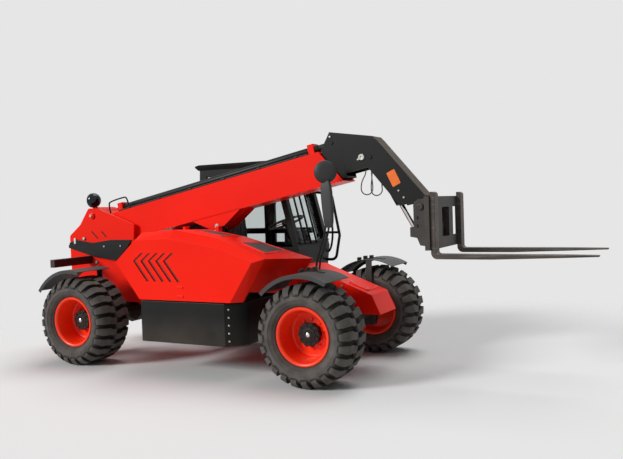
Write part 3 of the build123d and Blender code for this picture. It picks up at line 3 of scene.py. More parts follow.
import bmesh
import bpy
import numpy as np
from mathutils import Matrix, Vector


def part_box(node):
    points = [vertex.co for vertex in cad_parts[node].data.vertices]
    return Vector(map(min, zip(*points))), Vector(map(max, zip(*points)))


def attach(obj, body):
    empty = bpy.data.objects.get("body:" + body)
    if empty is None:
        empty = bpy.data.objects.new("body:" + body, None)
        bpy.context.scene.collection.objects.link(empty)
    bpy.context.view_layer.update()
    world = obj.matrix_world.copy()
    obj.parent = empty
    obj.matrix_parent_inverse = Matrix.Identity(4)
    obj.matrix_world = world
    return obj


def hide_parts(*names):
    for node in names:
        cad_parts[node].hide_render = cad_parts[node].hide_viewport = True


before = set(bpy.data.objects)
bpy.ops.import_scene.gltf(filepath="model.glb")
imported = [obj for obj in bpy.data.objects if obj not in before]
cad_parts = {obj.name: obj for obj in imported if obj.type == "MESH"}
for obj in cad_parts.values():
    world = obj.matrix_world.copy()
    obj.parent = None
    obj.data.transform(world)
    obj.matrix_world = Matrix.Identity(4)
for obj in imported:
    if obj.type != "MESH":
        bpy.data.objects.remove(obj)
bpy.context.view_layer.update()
scene = bpy.context.scene
scene.view_settings.view_transform = "Standard"

# Camera: it stands ahead of the machine on its right side, a little above the bonnet.
# Its place, lens and slight roll come from the wheels' ellipses and the forks' edges.
# Lengths below are metres from the rear axle, forward, left and up from the ground.
REAR_AXLE = sum(corner[0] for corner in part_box("rear_axle")) / 2
FRAME_W = 623
SENSOR_MM = 36.0
FOCAL_PIXELS = 695.8
CAMERA_AT = (5.137, -5.673, 1.465)
CAMERA_YAW, CAMERA_PITCH, CAMERA_ROLL = (math.radians(a) for a in (117.74, -2.04, -1.94))


def place(points):
    """Machine points, an array of x, y, z in metres from the rear axle, moved to the model's own origin."""
    return np.asarray(points, float) + np.array([REAR_AXLE, 0.0, 0.0])


def camera_matrix(at, yaw, pitch, roll):
    """Axes from the view direction: right is forward cross up, then right and up turn by the roll."""
    flat = math.cos(pitch)
    forward = np.array([flat * math.cos(yaw), flat * math.sin(yaw), math.sin(pitch)])
    right = np.cross(forward, [0.0, 0.0, 1.0])
    right /= np.linalg.norm(right)
    up = np.cross(right, forward)
    rolled_right = math.cos(roll) * right + math.sin(roll) * up
    rolled_up = -math.sin(roll) * right + math.cos(roll) * up
    matrix = np.eye(4)
    matrix[:3, :3] = np.column_stack([rolled_right, rolled_up, -forward])
    matrix[:3, 3] = at
    return Matrix(matrix)


camera_data = bpy.data.cameras.new("photographer")
camera_data.sensor_width = SENSOR_MM
camera_data.lens = SENSOR_MM * FOCAL_PIXELS / FRAME_W
camera = bpy.data.objects.new("photographer", camera_data)
scene.collection.objects.link(camera)
camera.matrix_world = camera_matrix(place(CAMERA_AT), CAMERA_YAW, CAMERA_PITCH, CAMERA_ROLL)
scene.camera = camera


# Hoses: two thin rubber hoses hang in loops under the boom head, from clips inside its right cheek.
# Extruded rubber over braid, black and matt. The routes are (ahead of the boom mouth's top, left, below it).
MOUTH = np.array([2.31258, 0.0, 1.93365])
HOSE_R = 0.005
HOSE_ROUTES = {
    "hose_right": (
        (0.439, -0.080, 0.154), (0.439, -0.080, 0.212), (0.399, -0.080, 0.272), (0.387, -0.080, 0.322),
        (0.387, -0.079, 0.367), (0.419, -0.078, 0.398), (0.463, -0.077, 0.398), (0.495, -0.076, 0.367),
        (0.495, -0.076, 0.309), (0.487, -0.076, 0.244), (0.487, -0.076, 0.179),
    ),
    "hose_left": (
        (0.487, -0.064, 0.179), (0.487, -0.064, 0.236), (0.475, -0.064, 0.314), (0.475, -0.064, 0.379),
        (0.504, -0.064, 0.408), (0.546, -0.064, 0.408), (0.579, -0.064, 0.377), (0.575, -0.064, 0.329),
        (0.575, -0.064, 0.284),
    ),
}


def paint(hex_code):
    """sRGB hex to the linear red, green, blue and alpha that the shader takes."""
    channel = np.array([int(hex_code[i : i + 2], 16) for i in (1, 3, 5)]) / 255.0
    linear = np.where(channel <= 0.04045, channel / 12.92, ((channel + 0.055) / 1.055) ** 2.4)
    return (*linear.tolist(), 1.0)


def add(tree, kind, inputs=(), **settings):
    """One node: settings are its own properties, inputs its sockets with a value or the output that feeds."""
    node = tree.nodes.new(kind)
    for key, value in settings.items():
        setattr(node, key, value)
    for socket, value in inputs:
        if isinstance(value, bpy.types.NodeSocket):
            tree.links.new(value, node.inputs[socket])
        else:
            node.inputs[socket].default_value = value
    return node


LEVEL_SOCKETS = {
    "specular": "Specular IOR Level", "metallic": "Metallic",
    "transmission": "Transmission Weight", "ior": "IOR",
}


def weathered(name, dark, light, patch_mm, grain_mm, relief_mm, rough, **levels):
    """A finish that drifts between two tones over patches, with a finer grain in its relief and its gloss.

    A noise of scale s has features about 1/s metres wide, so the scales are 1000 over the sizes in mm.
    levels are values of the shader's own sockets, by the short names above.
    Returns the material, its tree, its surface shader, the coordinates, the tone and the patch pattern.
    """
    material = bpy.data.materials.new(name)
    material.use_nodes = True
    tree = material.node_tree
    shader = tree.nodes["Principled BSDF"]
    for level, value in levels.items():
        shader.inputs[LEVEL_SOCKETS[level]].default_value = value
    where = add(tree, "ShaderNodeTexCoord").outputs["Object"]
    patch = add(
        tree, "ShaderNodeTexNoise", [("Vector", where), ("Scale", 1000.0 / patch_mm), ("Detail", 5.0)]
    ).outputs["Fac"]
    grain = add(
        tree, "ShaderNodeTexNoise", [("Vector", where), ("Scale", 1000.0 / grain_mm), ("Detail", 3.0)]
    ).outputs["Fac"]
    usual = [("From Min", 0.3), ("From Max", 0.7)]
    drift = add(tree, "ShaderNodeMapRange", [("Value", patch), *usual]).outputs["Result"]
    tone = add(
        tree, "ShaderNodeMixRGB", [("Fac", drift), ("Color1", paint(dark)), ("Color2", paint(light))]
    ).outputs["Color"]
    gloss = add(
        tree, "ShaderNodeMapRange", [("Value", grain), *usual, ("To Min", rough[0]), ("To Max", rough[1])]
    ).outputs["Result"]
    tree.links.new(tone, shader.inputs["Base Color"])
    tree.links.new(gloss, shader.inputs["Roughness"])
    if relief_mm:
        relief = add(tree, "ShaderNodeBump", [("Height", grain), ("Distance", relief_mm / 1000.0)])
        tree.links.new(relief.outputs["Normal"], shader.inputs["Normal"])
    return material, tree, shader, where, tone, patch


# Extruded rubber hose cover: dull black with a faint bloom in patches.
hose_rubber, *_ = weathered("hose_rubber", "#1b1b1b", "#2e2d2b", 40.0, 4.0, 0.2, (0.5, 0.7))

for hose_name, route in HOSE_ROUTES.items():
    hose_curve = bpy.data.curves.new(hose_name + "_line", "CURVE")
    hose_curve.dimensions = "3D"
    hose_curve.bevel_depth = HOSE_R
    hose_curve.bevel_resolution = 3
    hose_curve.resolution_u = 12
    hose_curve.use_fill_caps = True
    spline = hose_curve.splines.new("NURBS")
    spline.points.add(len(route) - 1)
    control = place(MOUTH + np.array(route) * np.array([1.0, 1.0, -1.0]))
    for point, at in zip(spline.points, control):
        point.co = (*at, 1.0)
    spline.order_u = 3
    spline.use_endpoint_u = True
    hose_object = bpy.data.objects.new(hose_name + "_loop", hose_curve)
    scene.collection.objects.link(hose_object)
    hose_curve.materials.append(hose_rubber)
    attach(hose_object, "extension")
    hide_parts(hose_name)


# Welded chassis: spine frame, boom tower and nose of cut steel plate, sprayed in one red enamel.
# The solids stay; their plate edges get the small rounding that a cut and painted plate has.
# Sprayed enamel: bright, with a fine orange peel of 3 mm and a soft gloss.
red_enamel, *_ = weathered("red_enamel", "#fa1a06", "#ff220a", 600.0, 3.0, 0.03, (0.3, 0.42), specular=0.14)
# Black powder coat: baked dry paint, dark and slightly pebbled at 2 mm, with some road dust low down.
DUST_TOP, DUST_FULL = 0.55, 0.25
black_coat, tree, shader, where, tone, patch = weathered(
    "black_powder_coat", "#080808", "#131211", 250.0, 2.0, 0.08, (0.36, 0.52), specular=0.2
)
height = add(tree, "ShaderNodeSeparateXYZ", [("Vector", where)]).outputs["Z"]
low = add(
    tree, "ShaderNodeMapRange", [("Value", height), ("From Min", DUST_TOP), ("From Max", DUST_FULL)]
).outputs["Result"]
dust = add(tree, "ShaderNodeMath", [(0, low), (1, patch)], operation="MULTIPLY").outputs["Value"]
dusty = add(tree, "ShaderNodeMixRGB", [("Fac", dust), ("Color1", tone), ("Color2", paint("#4b443c"))])
tree.links.new(dusty.outputs["Color"], shader.inputs["Base Color"])


def coat(material, *node_names, edge_mm=2.0):
    """Gives CAD nodes a finish, and rounds their sharp edges by merging, joining flat faces and bevelling."""
    for node_name in node_names:
        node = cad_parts[node_name]
        for material_slot in node.material_slots:
            material_slot.material = material
        if edge_mm:
            node.modifiers.new("merge", "WELD").merge_threshold = 0.00005
            flat = node.modifiers.new("flat", "DECIMATE")
            flat.decimate_type = "DISSOLVE"
            flat.angle_limit = math.radians(0.5)
            edge = node.modifiers.new("edge", "BEVEL")
            edge.width = edge_mm / 1000.0
            edge.segments = 2
            edge.limit_method = "ANGLE"
            edge.angle_limit = math.radians(35.0)


coat(red_enamel, "main_frame", "boom_tower", "front_nose", edge_mm=3.0)
coat(black_coat, "side_trims", "engine_wall", edge_mm=2.0)


# Fixings on the chassis: hexagon bolts, zinc-plated or painted over, a bracket, a cover and the tower's slots.
# Each head is a six-sided ring about its axis with a chamfered top.
HANDS = (("right", -1), ("left", 1))


def skin(name, grid, material, body, wrap=(False, True), caps=True, wear=None):
    """A piece from grids of points, an array (copies, rows, columns, 3) or one grid: quads join neighbours.

    wrap joins the last row or column to the first, and caps closes the first and the last row of each grid.
    wear, one number a point, is kept as an attribute for the material.
    """
    grid = np.asarray(grid, float)
    grid = grid.reshape((-1,) + grid.shape[-3:])
    copies, rows, columns, _ = grid.shape
    index = np.arange(copies * rows * columns).reshape(copies, rows, columns)
    ends = index[:, [0, -1]].reshape(-1, columns).tolist() if caps else []
    if wrap[0]:
        index = np.concatenate([index, index[:, :1]], axis=1)
    if wrap[1]:
        index = np.concatenate([index, index[:, :, :1]], axis=2)
    corners = (index[:, :-1, :-1], index[:, 1:, :-1], index[:, 1:, 1:], index[:, :-1, 1:])
    quads = np.stack(corners, axis=-1).reshape(-1, 4).tolist()
    mesh = bpy.data.meshes.new(name)
    mesh.from_pydata(place(grid.reshape(-1, 3)).tolist(), [], quads + ends)
    if wear is not None:
        kept = mesh.attributes.new("wear", "FLOAT", "POINT")
        kept.data.foreach_set("value", np.broadcast_to(wear, grid.shape[:3]).ravel())
    shell = bmesh.new()
    shell.from_mesh(mesh)
    bmesh.ops.remove_doubles(shell, verts=shell.verts, dist=1e-6)
    bmesh.ops.recalc_face_normals(shell, faces=shell.faces)
    shell.to_mesh(mesh)
    shell.free()
    mesh.shade_smooth()
    mesh.set_sharp_from_angle(angle=math.radians(32.0))
    mesh.materials.append(material)
    piece = bpy.data.objects.new(name, mesh)
    scene.collection.objects.link(piece)
    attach(piece, body)
    return piece


def xyz(x, y, z):
    """Points from arrays of x, y and z, each spread to their common shape."""
    return np.stack(np.broadcast_arrays(x, y, z), axis=-1)


def spun(profile, sides, centres, axis):
    """Rings about an axis, one a profile point: centre + offset * axis + radius * (cos * first + sin * second)."""
    axis = np.asarray(axis, float) / np.linalg.norm(axis)
    first = np.cross(axis, [0.0, 0.0, 1.0] if abs(axis[2]) < 0.9 else [1.0, 0.0, 0.0])
    first /= np.linalg.norm(first)
    turn = np.linspace(0.0, 2.0 * math.pi, sides, endpoint=False)[:, None]
    ring = np.cos(turn) * first + np.sin(turn) * np.cross(axis, first)
    profile = np.asarray(profile, float)
    shape = profile[:, 0, None, None] * axis + profile[:, 1, None, None] * ring
    return np.asarray(centres, float).reshape(-1, 1, 1, 3) + shape


def squarish(count, power):
    """Outline between a square and a circle: the sign of cos and sin times their size to a small power."""
    turn = np.linspace(0.0, 2.0 * math.pi, count, endpoint=False)
    return tuple(np.sign(f(turn)) * np.abs(f(turn)) ** power for f in (np.cos, np.sin))


def block(centre, half, through=2):
    """A block with rounded corners and chamfered ends: the outline stands on the axis named by through."""
    level = np.array([(-1.0, 0.93), (-0.93, 1.0), (0.93, 1.0), (1.0, 0.93)])
    across, along = squarish(32, 0.18)
    grid = xyz(across * level[:, 1:], along * level[:, 1:], level[:, :1])
    return np.asarray(centre) + np.roll(grid, through - 2, axis=-1) * np.asarray(half)


def cut_plate(outline, centre, rows):
    """A plate of x and z outline: each row gives its y and the outline's share of full size about a centre."""
    outline, rows = np.asarray(outline, float), np.asarray(rows, float)
    x, z = (centre[i] + (outline[:, i] - centre[i]) * rows[:, 1:] for i in (0, 1))
    return xyz(x, rows[:, :1], z)


# Zinc-plated steel: pale grey metal with a dull, cloudy shine.
zinc, *_ = weathered("zinc_plate", "#8f8f8c", "#b9b8b2", 20.0, 2.0, 0.02, (0.3, 0.5), metallic=0.9)


def bolts(name, across, high, centres, axis, body, material=zinc):
    """Hexagon heads on one axis: straight flanks, a chamfered top, sunk 1 mm into what they are screwed to."""
    r = across / math.sqrt(3.0)
    head = [(-0.001, r), (0.75 * high, r), (high, 0.84 * r)]
    skin(name, spun(head, 6, centres, axis), material, body)


TANK_BEVEL_X, TANK_BEVEL_Y = 1.765, -0.823
bevel_bolts = xyz(TANK_BEVEL_X, TANK_BEVEL_Y, np.linspace(0.33, 0.60, 5))
bolts("tank_bolts", 0.016, 0.008, bevel_bolts, (0.73, -0.68, 0), "chassis")
TRIM_FACE_Y = 0.209
for hand, side in HANDS:
    centres = [(-0.208, side * TRIM_FACE_Y, 1.100), (0.020, side * TRIM_FACE_Y, 1.105)]
    bolts(f"trim_bolts_{hand}", 0.019, 0.009, centres, (0, side, 0), "chassis")

# Bracket on the nose's right flank, cut from plate and painted with it, and an inspection cover on its slope.
bracket = cut_plate(
    [(2.360, 0.790), (2.420, 0.846), (2.512, 0.815), (2.578, 0.722), (2.430, 0.742)], (2.460, 0.783),
    [(-0.184, 1.0), (-0.198, 1.0), (-0.203, 0.94)],
)
skin("nose_bracket", bracket, red_enamel, "chassis")
bracket_bolts = [(2.405, -0.203, 0.795), (2.470, -0.203, 0.805), (2.540, -0.203, 0.748)]
bolts("nose_bolts", 0.019, 0.010, bracket_bolts, (0, -1, 0), "chassis")
NOSE_FALL = 0.3934
COVER_X, COVER_Z, COVER_T = 2.660, 0.7385, 0.006
cover = block((COVER_X, 0.0, COVER_Z), (0.095, 0.120, COVER_T))
cover[..., 2] -= NOSE_FALL * (cover[..., 0] - COVER_X)
skin("nose_cover", cover, red_enamel, "chassis")
cover_x, cover_y = (corner.ravel() for corner in np.meshgrid([2.585, 2.735], [-0.095, 0.095]))
cover_bolts = xyz(cover_x, cover_y, COVER_Z + COVER_T - NOSE_FALL * (cover_x - COVER_X))
bolts("nose_cover_bolts", 0.016, 0.008, cover_bolts, (0.366, 0, 0.93), "chassis")

# Slots burnt through the tower's flanks, which lean back as they rise, drawn as thin black blocks on the flanks:
# painted shade for the dark seen through them. Also the heads of two bolts.
SLOT_LEAN = 0.9
for hand, side in HANDS:
    slots = np.stack([
        block((-0.361, side * 0.186, 1.222), (0.040, 0.003, 0.008), 1),
        block((-0.230, side * 0.186, 1.229), (0.030, 0.003, 0.008), 1),
    ])
    slots[..., 2] -= SLOT_LEAN * (slots[..., 0] - slots[..., 0].mean(axis=(1, 2), keepdims=True))
    skin(f"tower_slot_shades_{hand}", slots, black_coat, "chassis")
    flank_bolts = [(-0.512, side * 0.185, 1.184), (-0.344, side * 0.185, 0.935)]
    bolts(f"tower_bolts_{hand}", 0.034, 0.016, flank_bolts, (0, side, 0), "chassis")


# Side boxes: tank and battery box on the right, step box on the left, folded from sheet and powder-coated.
# A tread of pressed ribs lies in the foothold under the door.
coat(black_coat, "side_tank", "step_box", edge_mm=4.0)
TREAD_Z = 0.3235
rib_x = np.linspace(1.27, 1.64, 13)[:, None, None]
rib_y = np.array([0.705, 0.712, 0.838, 0.845])[:, None]
rib_rise = np.array([0.0, 1.0, 1.0, 0.0])[:, None]
rib_profile = np.array([(-0.006, 0.0), (-0.003, 0.005), (0.003, 0.005), (0.006, 0.0)])
ribs = xyz(rib_x + rib_profile[:, 0], rib_y, TREAD_Z + rib_profile[:, 1] * rib_rise)
skin("step_tread", ribs, zinc, "chassis")


# Axles, knuckles and drive line: cast and welded housings in the same black coat.
# Gearbox and engine are castings, painted grey.
coat(black_coat, "front_axle", "rear_axle", edge_mm=1.5)
for corner in ("front_right", "front_left", "rear_right", "rear_left"):
    coat(black_coat, "knuckle_" + corner, edge_mm=1.5)
# Cast iron, painted grey: rough skin at 4 mm and oily darker patches.
cast_iron, *_ = weathered("painted_cast_iron", "#2a2a29", "#454543", 120.0, 4.0, 0.3, (0.55, 0.75))
coat(cast_iron, "drive_line", "engine_block", edge_mm=4.0)


# Tyres: industrial traction tyres, a moulded carcass with two staggered rows of hooked lugs.
# The carcass is one profile turned about the axle; a lug is a section carried from the crown to the shoulder.
WHEELBASE, WHEEL_Y, WHEEL_Z = 2.5, 0.72, 0.42
LUGS = 24
LUG_PITCH = 2.0 * math.pi / LUGS
CARCASS = np.array([
    (0.0, 0.388), (0.075, 0.3875), (0.13, 0.385), (0.165, 0.378), (0.188, 0.362), (0.2005, 0.342),
    (0.2035, 0.325), (0.2025, 0.308), (0.2035, 0.304), (0.2030, 0.300), (0.1995, 0.297), (0.193, 0.281),
    (0.183, 0.266), (0.1765, 0.262), (0.1745, 0.257), (0.166, 0.2475), (0.158, 0.2425), (0.1527, 0.2403),
    (0.1527, 0.2123),
])
carcass_profile = np.concatenate([CARCASS, CARCASS[:0:-1] * [-1, 1]])
# Along a lug: offset from the middle plane, top radius, foot radius, half width and lead, both in lug pitches.
LUG_STATIONS = np.array([
    (-0.004, 0.395, 0.380, 0.24, 0.160), (0.002, 0.417, 0.380, 0.270, 0.155), (0.030, 0.4195, 0.380, 0.290, 0.145),
    (0.060, 0.4198, 0.380, 0.300, 0.130), (0.082, 0.4198, 0.379, 0.315, 0.020), (0.110, 0.4198, 0.379, 0.325, 0.0),
    (0.140, 0.419, 0.378, 0.330, 0.0), (0.158, 0.413, 0.374, 0.328, 0.0), (0.180, 0.395, 0.360, 0.315, 0.0),
    (0.2005, 0.372, 0.340, 0.300, 0.0), (0.2055, 0.362, 0.335, 0.285, 0.0), (0.2060, 0.348, 0.330, 0.265, 0.0),
])
LUG_SECTION = np.array([(-1.10, 0.0), (-1.0, 0.82), (-0.92, 1.0), (0.92, 1.0), (1.0, 0.82), (1.10, 0.0)])


def on_wheel(x, side, turn, radius, offset):
    """A wheel's point: turn runs round the axle from straight down, offset points away from the machine."""
    return xyz(x - side * radius * np.sin(turn), side * (WHEEL_Y + offset), WHEEL_Z - radius * np.cos(turn))


# Tyre rubber: black compound with carbon, dusty brown-grey on the walls and paler where the lugs have run.
# The wear attribute is 0.72 on the running faces, up to 0.75 on the walls and little elsewhere.
tyre_rubber, tree, shader, _, tone, patch = weathered(
    "tyre_rubber", "#171615", "#242220", 90.0, 5.0, 0.25, (0.72, 0.9), specular=0.3
)
worn = add(tree, "ShaderNodeAttribute", attribute_name="wear").outputs["Fac"]
cloud = add(
    tree, "ShaderNodeMapRange", [("Value", patch), ("From Min", 0.25), ("From Max", 0.75), ("To Min", 0.45)]
).outputs["Result"]
dust = add(tree, "ShaderNodeMath", [(0, worn), (1, cloud)], operation="MULTIPLY").outputs["Value"]
dusty = add(tree, "ShaderNodeMixRGB", [("Fac", dust), ("Color1", tone), ("Color2", paint("#706b66"))])
tree.links.new(dusty.outputs["Color"], shader.inputs["Base Color"])

turns = np.linspace(0.0, 2.0 * math.pi, 4 * LUGS, endpoint=False)
wall_wear = np.interp(carcass_profile[:, 1], [0.24, 0.27, 0.33, 0.36, 0.38], [0.35, 0.75, 0.75, 0.2, 0.0])
offset, top, foot, half, lead = (LUG_STATIONS[:, i, None] for i in range(5))
across, rise = LUG_SECTION[:, 0], LUG_SECTION[:, 1]
lug_radius = foot + rise * (top - foot)
lug_wear = np.broadcast_to(0.10 + 0.62 * (rise > 0.9), lug_radius.shape)
WHEELS = {
    "front_right": (WHEELBASE, -1), "front_left": (WHEELBASE, 1),
    "rear_right": (0.0, -1), "rear_left": (0.0, 1),
}
for corner, (x, side) in WHEELS.items():
    body = "wheel_" + corner
    carcass = on_wheel(x, side, turns, carcass_profile[:, 1, None], carcass_profile[:, 0, None])
    wall = skin(
        "tyre_carcass_" + corner, carcass, tyre_rubber, body, wrap=(True, True), caps=False,
        wear=wall_wear[:, None],
    )
    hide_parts("tyre_" + corner)
    lug_rows = []
    for row in (1, -1):
        middle = (np.arange(LUGS)[:, None, None] + row / 4 + side * lead) * LUG_PITCH
        lug_rows.append(on_wheel(x, side, middle + across * half * LUG_PITCH, lug_radius, row * offset))
    skin("tyre_lugs_" + corner, np.concatenate(lug_rows), tyre_rubber, body, wear=lug_wear)


# Wheels: pressed steel rims with a rolled flange and a deep dish, in orange-red enamel.
# The hub in the dish is a cast planetary case with a ring of bolts and a bright plug; ten nuts hold the disc.
RIM_PROFILE = [
    (-0.038, 0.0), (-0.038, 0.185), (-0.045, 0.192), (-0.145, 0.203), (-0.158, 0.212), (-0.165, 0.225),
    (-0.165, 0.236), (-0.159, 0.240), (-0.153, 0.240), (-0.153, 0.2122), (0.153, 0.2122), (0.153, 0.240),
    (0.160, 0.240), (0.1655, 0.2365), (0.1668, 0.230), (0.1645, 0.221), (0.157, 0.2115), (0.145, 0.2065),
    (0.060, 0.1985), (0.0, 0.193), (-0.014, 0.187), (-0.021, 0.176), (-0.021, 0.150), (-0.014, 0.118),
    (-0.012, 0.0),
]
HUB_PROFILE = np.array([
    (-0.020, 0.088), (0.028, 0.086), (0.032, 0.097), (0.046, 0.097), (0.050, 0.092), (0.052, 0.066),
    (0.058, 0.060), (0.061, 0.040), (0.065, 0.036), (0.065, 0.016),
])
PLUG_PROFILE = [(0.060, 0.019), (0.069, 0.018), (0.073, 0.010)]
HUB_SIDES, HUB_LOBES, LOBE_DEPTH = 80, 10, 0.045
NUT_CIRCLE_R, NUT_SEAT = 0.118, -0.0135
CASE_CIRCLE_R, CASE_SEAT = 0.079, 0.051
# Rim enamel: the same sprayed paint in a more orange red.
rim_enamel, *_ = weathered("rim_enamel", "#fa3514", "#ff421c", 300.0, 3.0, 0.03, (0.25, 0.36), specular=0.35)
# Polished steel plug in the hub.
bright_steel, *_ = weathered("bright_steel", "#cfcfcf", "#e4e4e2", 15.0, 1.0, 0.01, (0.12, 0.22), metallic=1.0)
nut_turns = np.linspace(0.0, 2.0 * math.pi, 10, endpoint=False)
case_turns = nut_turns + 0.2
hub_turns = np.linspace(0.0, 2.0 * math.pi, HUB_SIDES, endpoint=False)
lobe = 1.0 + LOBE_DEPTH * np.cos(HUB_LOBES * hub_turns)[:, None]
for corner, (x, side) in WHEELS.items():
    body, axle_end, outward = "wheel_" + corner, np.array([[x, side * WHEEL_Y, WHEEL_Z]]), (0, side, 0)
    dish = skin("rim_dish_" + corner, spun(RIM_PROFILE, 72, axle_end, outward), rim_enamel, body)
    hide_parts("rim_" + corner)
    hub_line = (axle_end + HUB_PROFILE[:, :1] * np.array(outward))[None, :, None]
    lobed = hub_line + (spun(HUB_PROFILE, HUB_SIDES, axle_end, outward) - hub_line) * lobe
    skin("hub_case_" + corner, lobed, black_coat, body)
    skin("hub_plug_" + corner, spun(PLUG_PROFILE, 24, axle_end, outward), bright_steel, body)
    nuts = on_wheel(x, side, nut_turns, NUT_CIRCLE_R, NUT_SEAT)
    bolts("wheel_nuts_" + corner, 0.024, 0.018, nuts, outward, body, rim_enamel)
    case_bolts = on_wheel(x, side, case_turns, CASE_CIRCLE_R, CASE_SEAT)
    bolts("hub_bolts_" + corner, 0.012, 0.007, case_bolts, outward, body, black_coat)


# Fenders: moulded black guards with a turned lip, on bent posts from the knuckles.
# Clamp blocks and a strap on top of the front guards hold them to their posts.
# Moulded polyethylene: charcoal with a fine leather grain, greyer in patches.
moulded_guard, *_ = weathered("moulded_polyethylene", "#1e1e1e", "#2e2e2d", 150.0, 3.0, 0.15, (0.5, 0.65))
for corner in WHEELS:
    coat(moulded_guard, "fender_" + corner, edge_mm=2.0)


def swept(path, section, up):
    """A flat section carried along a path: across is tangent cross up, and the section stands on both."""
    path, section = np.asarray(path, float), np.asarray(section, float)
    tangent = np.gradient(path, axis=0)
    tangent /= np.linalg.norm(tangent, axis=1, keepdims=True)
    across = np.cross(tangent, up)
    across /= np.linalg.norm(across, axis=1, keepdims=True)
    lift = np.cross(across, tangent)
    return path[:, None] + section[:, :1] * across[:, None] + section[:, 1:] * lift[:, None]


def bar(name, path, section, up, body):
    """A bar in the black coat: its section carried along its path."""
    skin(name, swept(path, section, up), black_coat, body)


def flat_bar(half_wide, half_thick):
    """Corners of a flat bar's section."""
    return np.array([(-1, -1), (1, -1), (1, 1), (-1, 1)]) * [half_wide, half_thick]


STRAP_R = 0.503
CLAMPS = ((2.36, 0.914), (2.425, 0.929), (2.49, 0.935))
strap_x = np.linspace(2.40, 2.60, 10)
strap_z = WHEEL_Z + np.sqrt(STRAP_R**2 - (strap_x - WHEELBASE) ** 2)
for corner, side in (("front_right", -1), ("front_left", 1)):
    clamps = np.stack([block((x, side * 0.60, z), (0.014, 0.026, 0.018)) for x, z in CLAMPS])
    skin("fender_clamps_" + corner, clamps, black_coat, "knuckle_" + corner)
    strap = xyz(strap_x, side * 0.66, strap_z)
    bar("fender_strap_" + corner, strap, flat_bar(0.03, 0.003), (0, 0, 1), "knuckle_" + corner)


# Hood: folded and welded sheet in the red enamel, hinged along the boom side.
# Two framed mesh panels let the air in on top; two flush pulls sit low on the side.
coat(red_enamel, "hood", edge_mm=6.0)
HOOD_RIDGE = ((1.185, -0.78, 1.285), (1.640, -0.78, 1.208), (2.120, -0.78, 1.030))
HOOD_VALLEY = ((1.185, -0.212, 1.262), (1.560, -0.212, 1.190), (2.270, -0.212, 0.990))
# A grille's ends in x and y, its first station on the ridge, and whether its fold is a valley or a ridge.
GRILLES = ((1.265, 1.570, -0.58, -0.31, 0, np.maximum), (1.785, 2.050, -0.645, -0.290, 1, np.minimum))
GRILLE_RAIL = np.array([
    (0.002, -0.004), (0.002, 0.004), (-0.003, 0.007), (-0.011, 0.007), (-0.015, 0.004), (-0.015, -0.004),
])
MESH_LIFT = MESH_T = 0.003


def plane_through(a, b, c, x, y):
    """Height over x and y of the plane through three points: a + share along each edge in plan."""
    (ax, ay, az), (bx, by, bz), (cx, cy, cz) = a, b, c
    normal = np.cross([bx - ax, by - ay, bz - az], [cx - ax, cy - ay, cz - az])
    return az - (normal[0] * (x - ax) + normal[1] * (y - ay)) / normal[2]


def hood_top(x, y, first, fold):
    """Height of the hood's top between two stations, where two flat faces are folded along a diagonal."""
    ridge, valley = HOOD_RIDGE[first : first + 2], HOOD_VALLEY[first : first + 2]
    side_face = plane_through(ridge[0], ridge[1], valley[1], x, y)
    return fold(side_face, plane_through(ridge[0], valley[1], valley[0], x, y))


# Woven steel mesh, painted dark: wires drawn at a 22 mm pitch, coarser than real, so that they show.
WIRE_PITCH, WIRE_T = 0.022, 0.004
mesh_panel, tree, shader, where, *_ = weathered(
    "painted_wire_mesh", "#141413", "#222120", 80.0, 3.0, 0.1, (0.45, 0.6)
)
# Brick pattern: the wires in a lighter grey, and the openings between them near-black on a flat sheet, which is
# painted shade for the dark under the hood seen through them.
wires = add(
    tree, "ShaderNodeTexBrick",
    [("Vector", where), ("Color1", paint("#0a0a0a")), ("Color2", paint("#0f0f0e")), ("Mortar", paint("#484844")),
     ("Scale", 1.0), ("Mortar Size", WIRE_T), ("Brick Width", WIRE_PITCH), ("Row Height", WIRE_PITCH)],
    offset=0.0, squash=1.0,
)
tree.links.new(wires.outputs["Color"], shader.inputs["Base Color"])
raised = add(tree, "ShaderNodeBump", [("Height", wires.outputs["Fac"]), ("Distance", 0.002)]).outputs["Normal"]
tree.links.new(raised, shader.inputs["Normal"])
frame_x, frame_y = squarish(64, 0.16)
for number, (x0, x1, y0, y1, first, fold) in enumerate(GRILLES, 1):
    across, along = np.meshgrid(np.linspace(y0, y1, 15), np.linspace(x0, x1, 15))
    panel = xyz(along, across, hood_top(along, across, first, fold) + MESH_LIFT)
    panel_piece = skin(
        f"hood_mesh_{number}", panel, mesh_panel, "hood", wrap=(False, False), caps=False
    )
    thick = panel_piece.modifiers.new("thick", "SOLIDIFY")
    thick.thickness = MESH_T
    thick.offset = 0.0
    rail_x = (x0 + x1) / 2 + frame_x * ((x1 - x0) / 2 + GRILLE_RAIL[:, :1])
    rail_y = (y0 + y1) / 2 + frame_y * ((y1 - y0) / 2 + GRILLE_RAIL[:, :1])
    framed = xyz(rail_x, rail_y, hood_top(rail_x, rail_y, first, fold) + GRILLE_RAIL[:, 1:])
    skin(f"hood_mesh_frame_{number}", framed, red_enamel, "hood", wrap=(True, True), caps=False)
for number, z in enumerate((0.700, 0.780), 1):
    pull = block((1.279, -0.8525, z), (0.036, 0.0045, 0.010), 1)
    skin(f"hood_pull_{number}", pull, red_enamel, "hood")
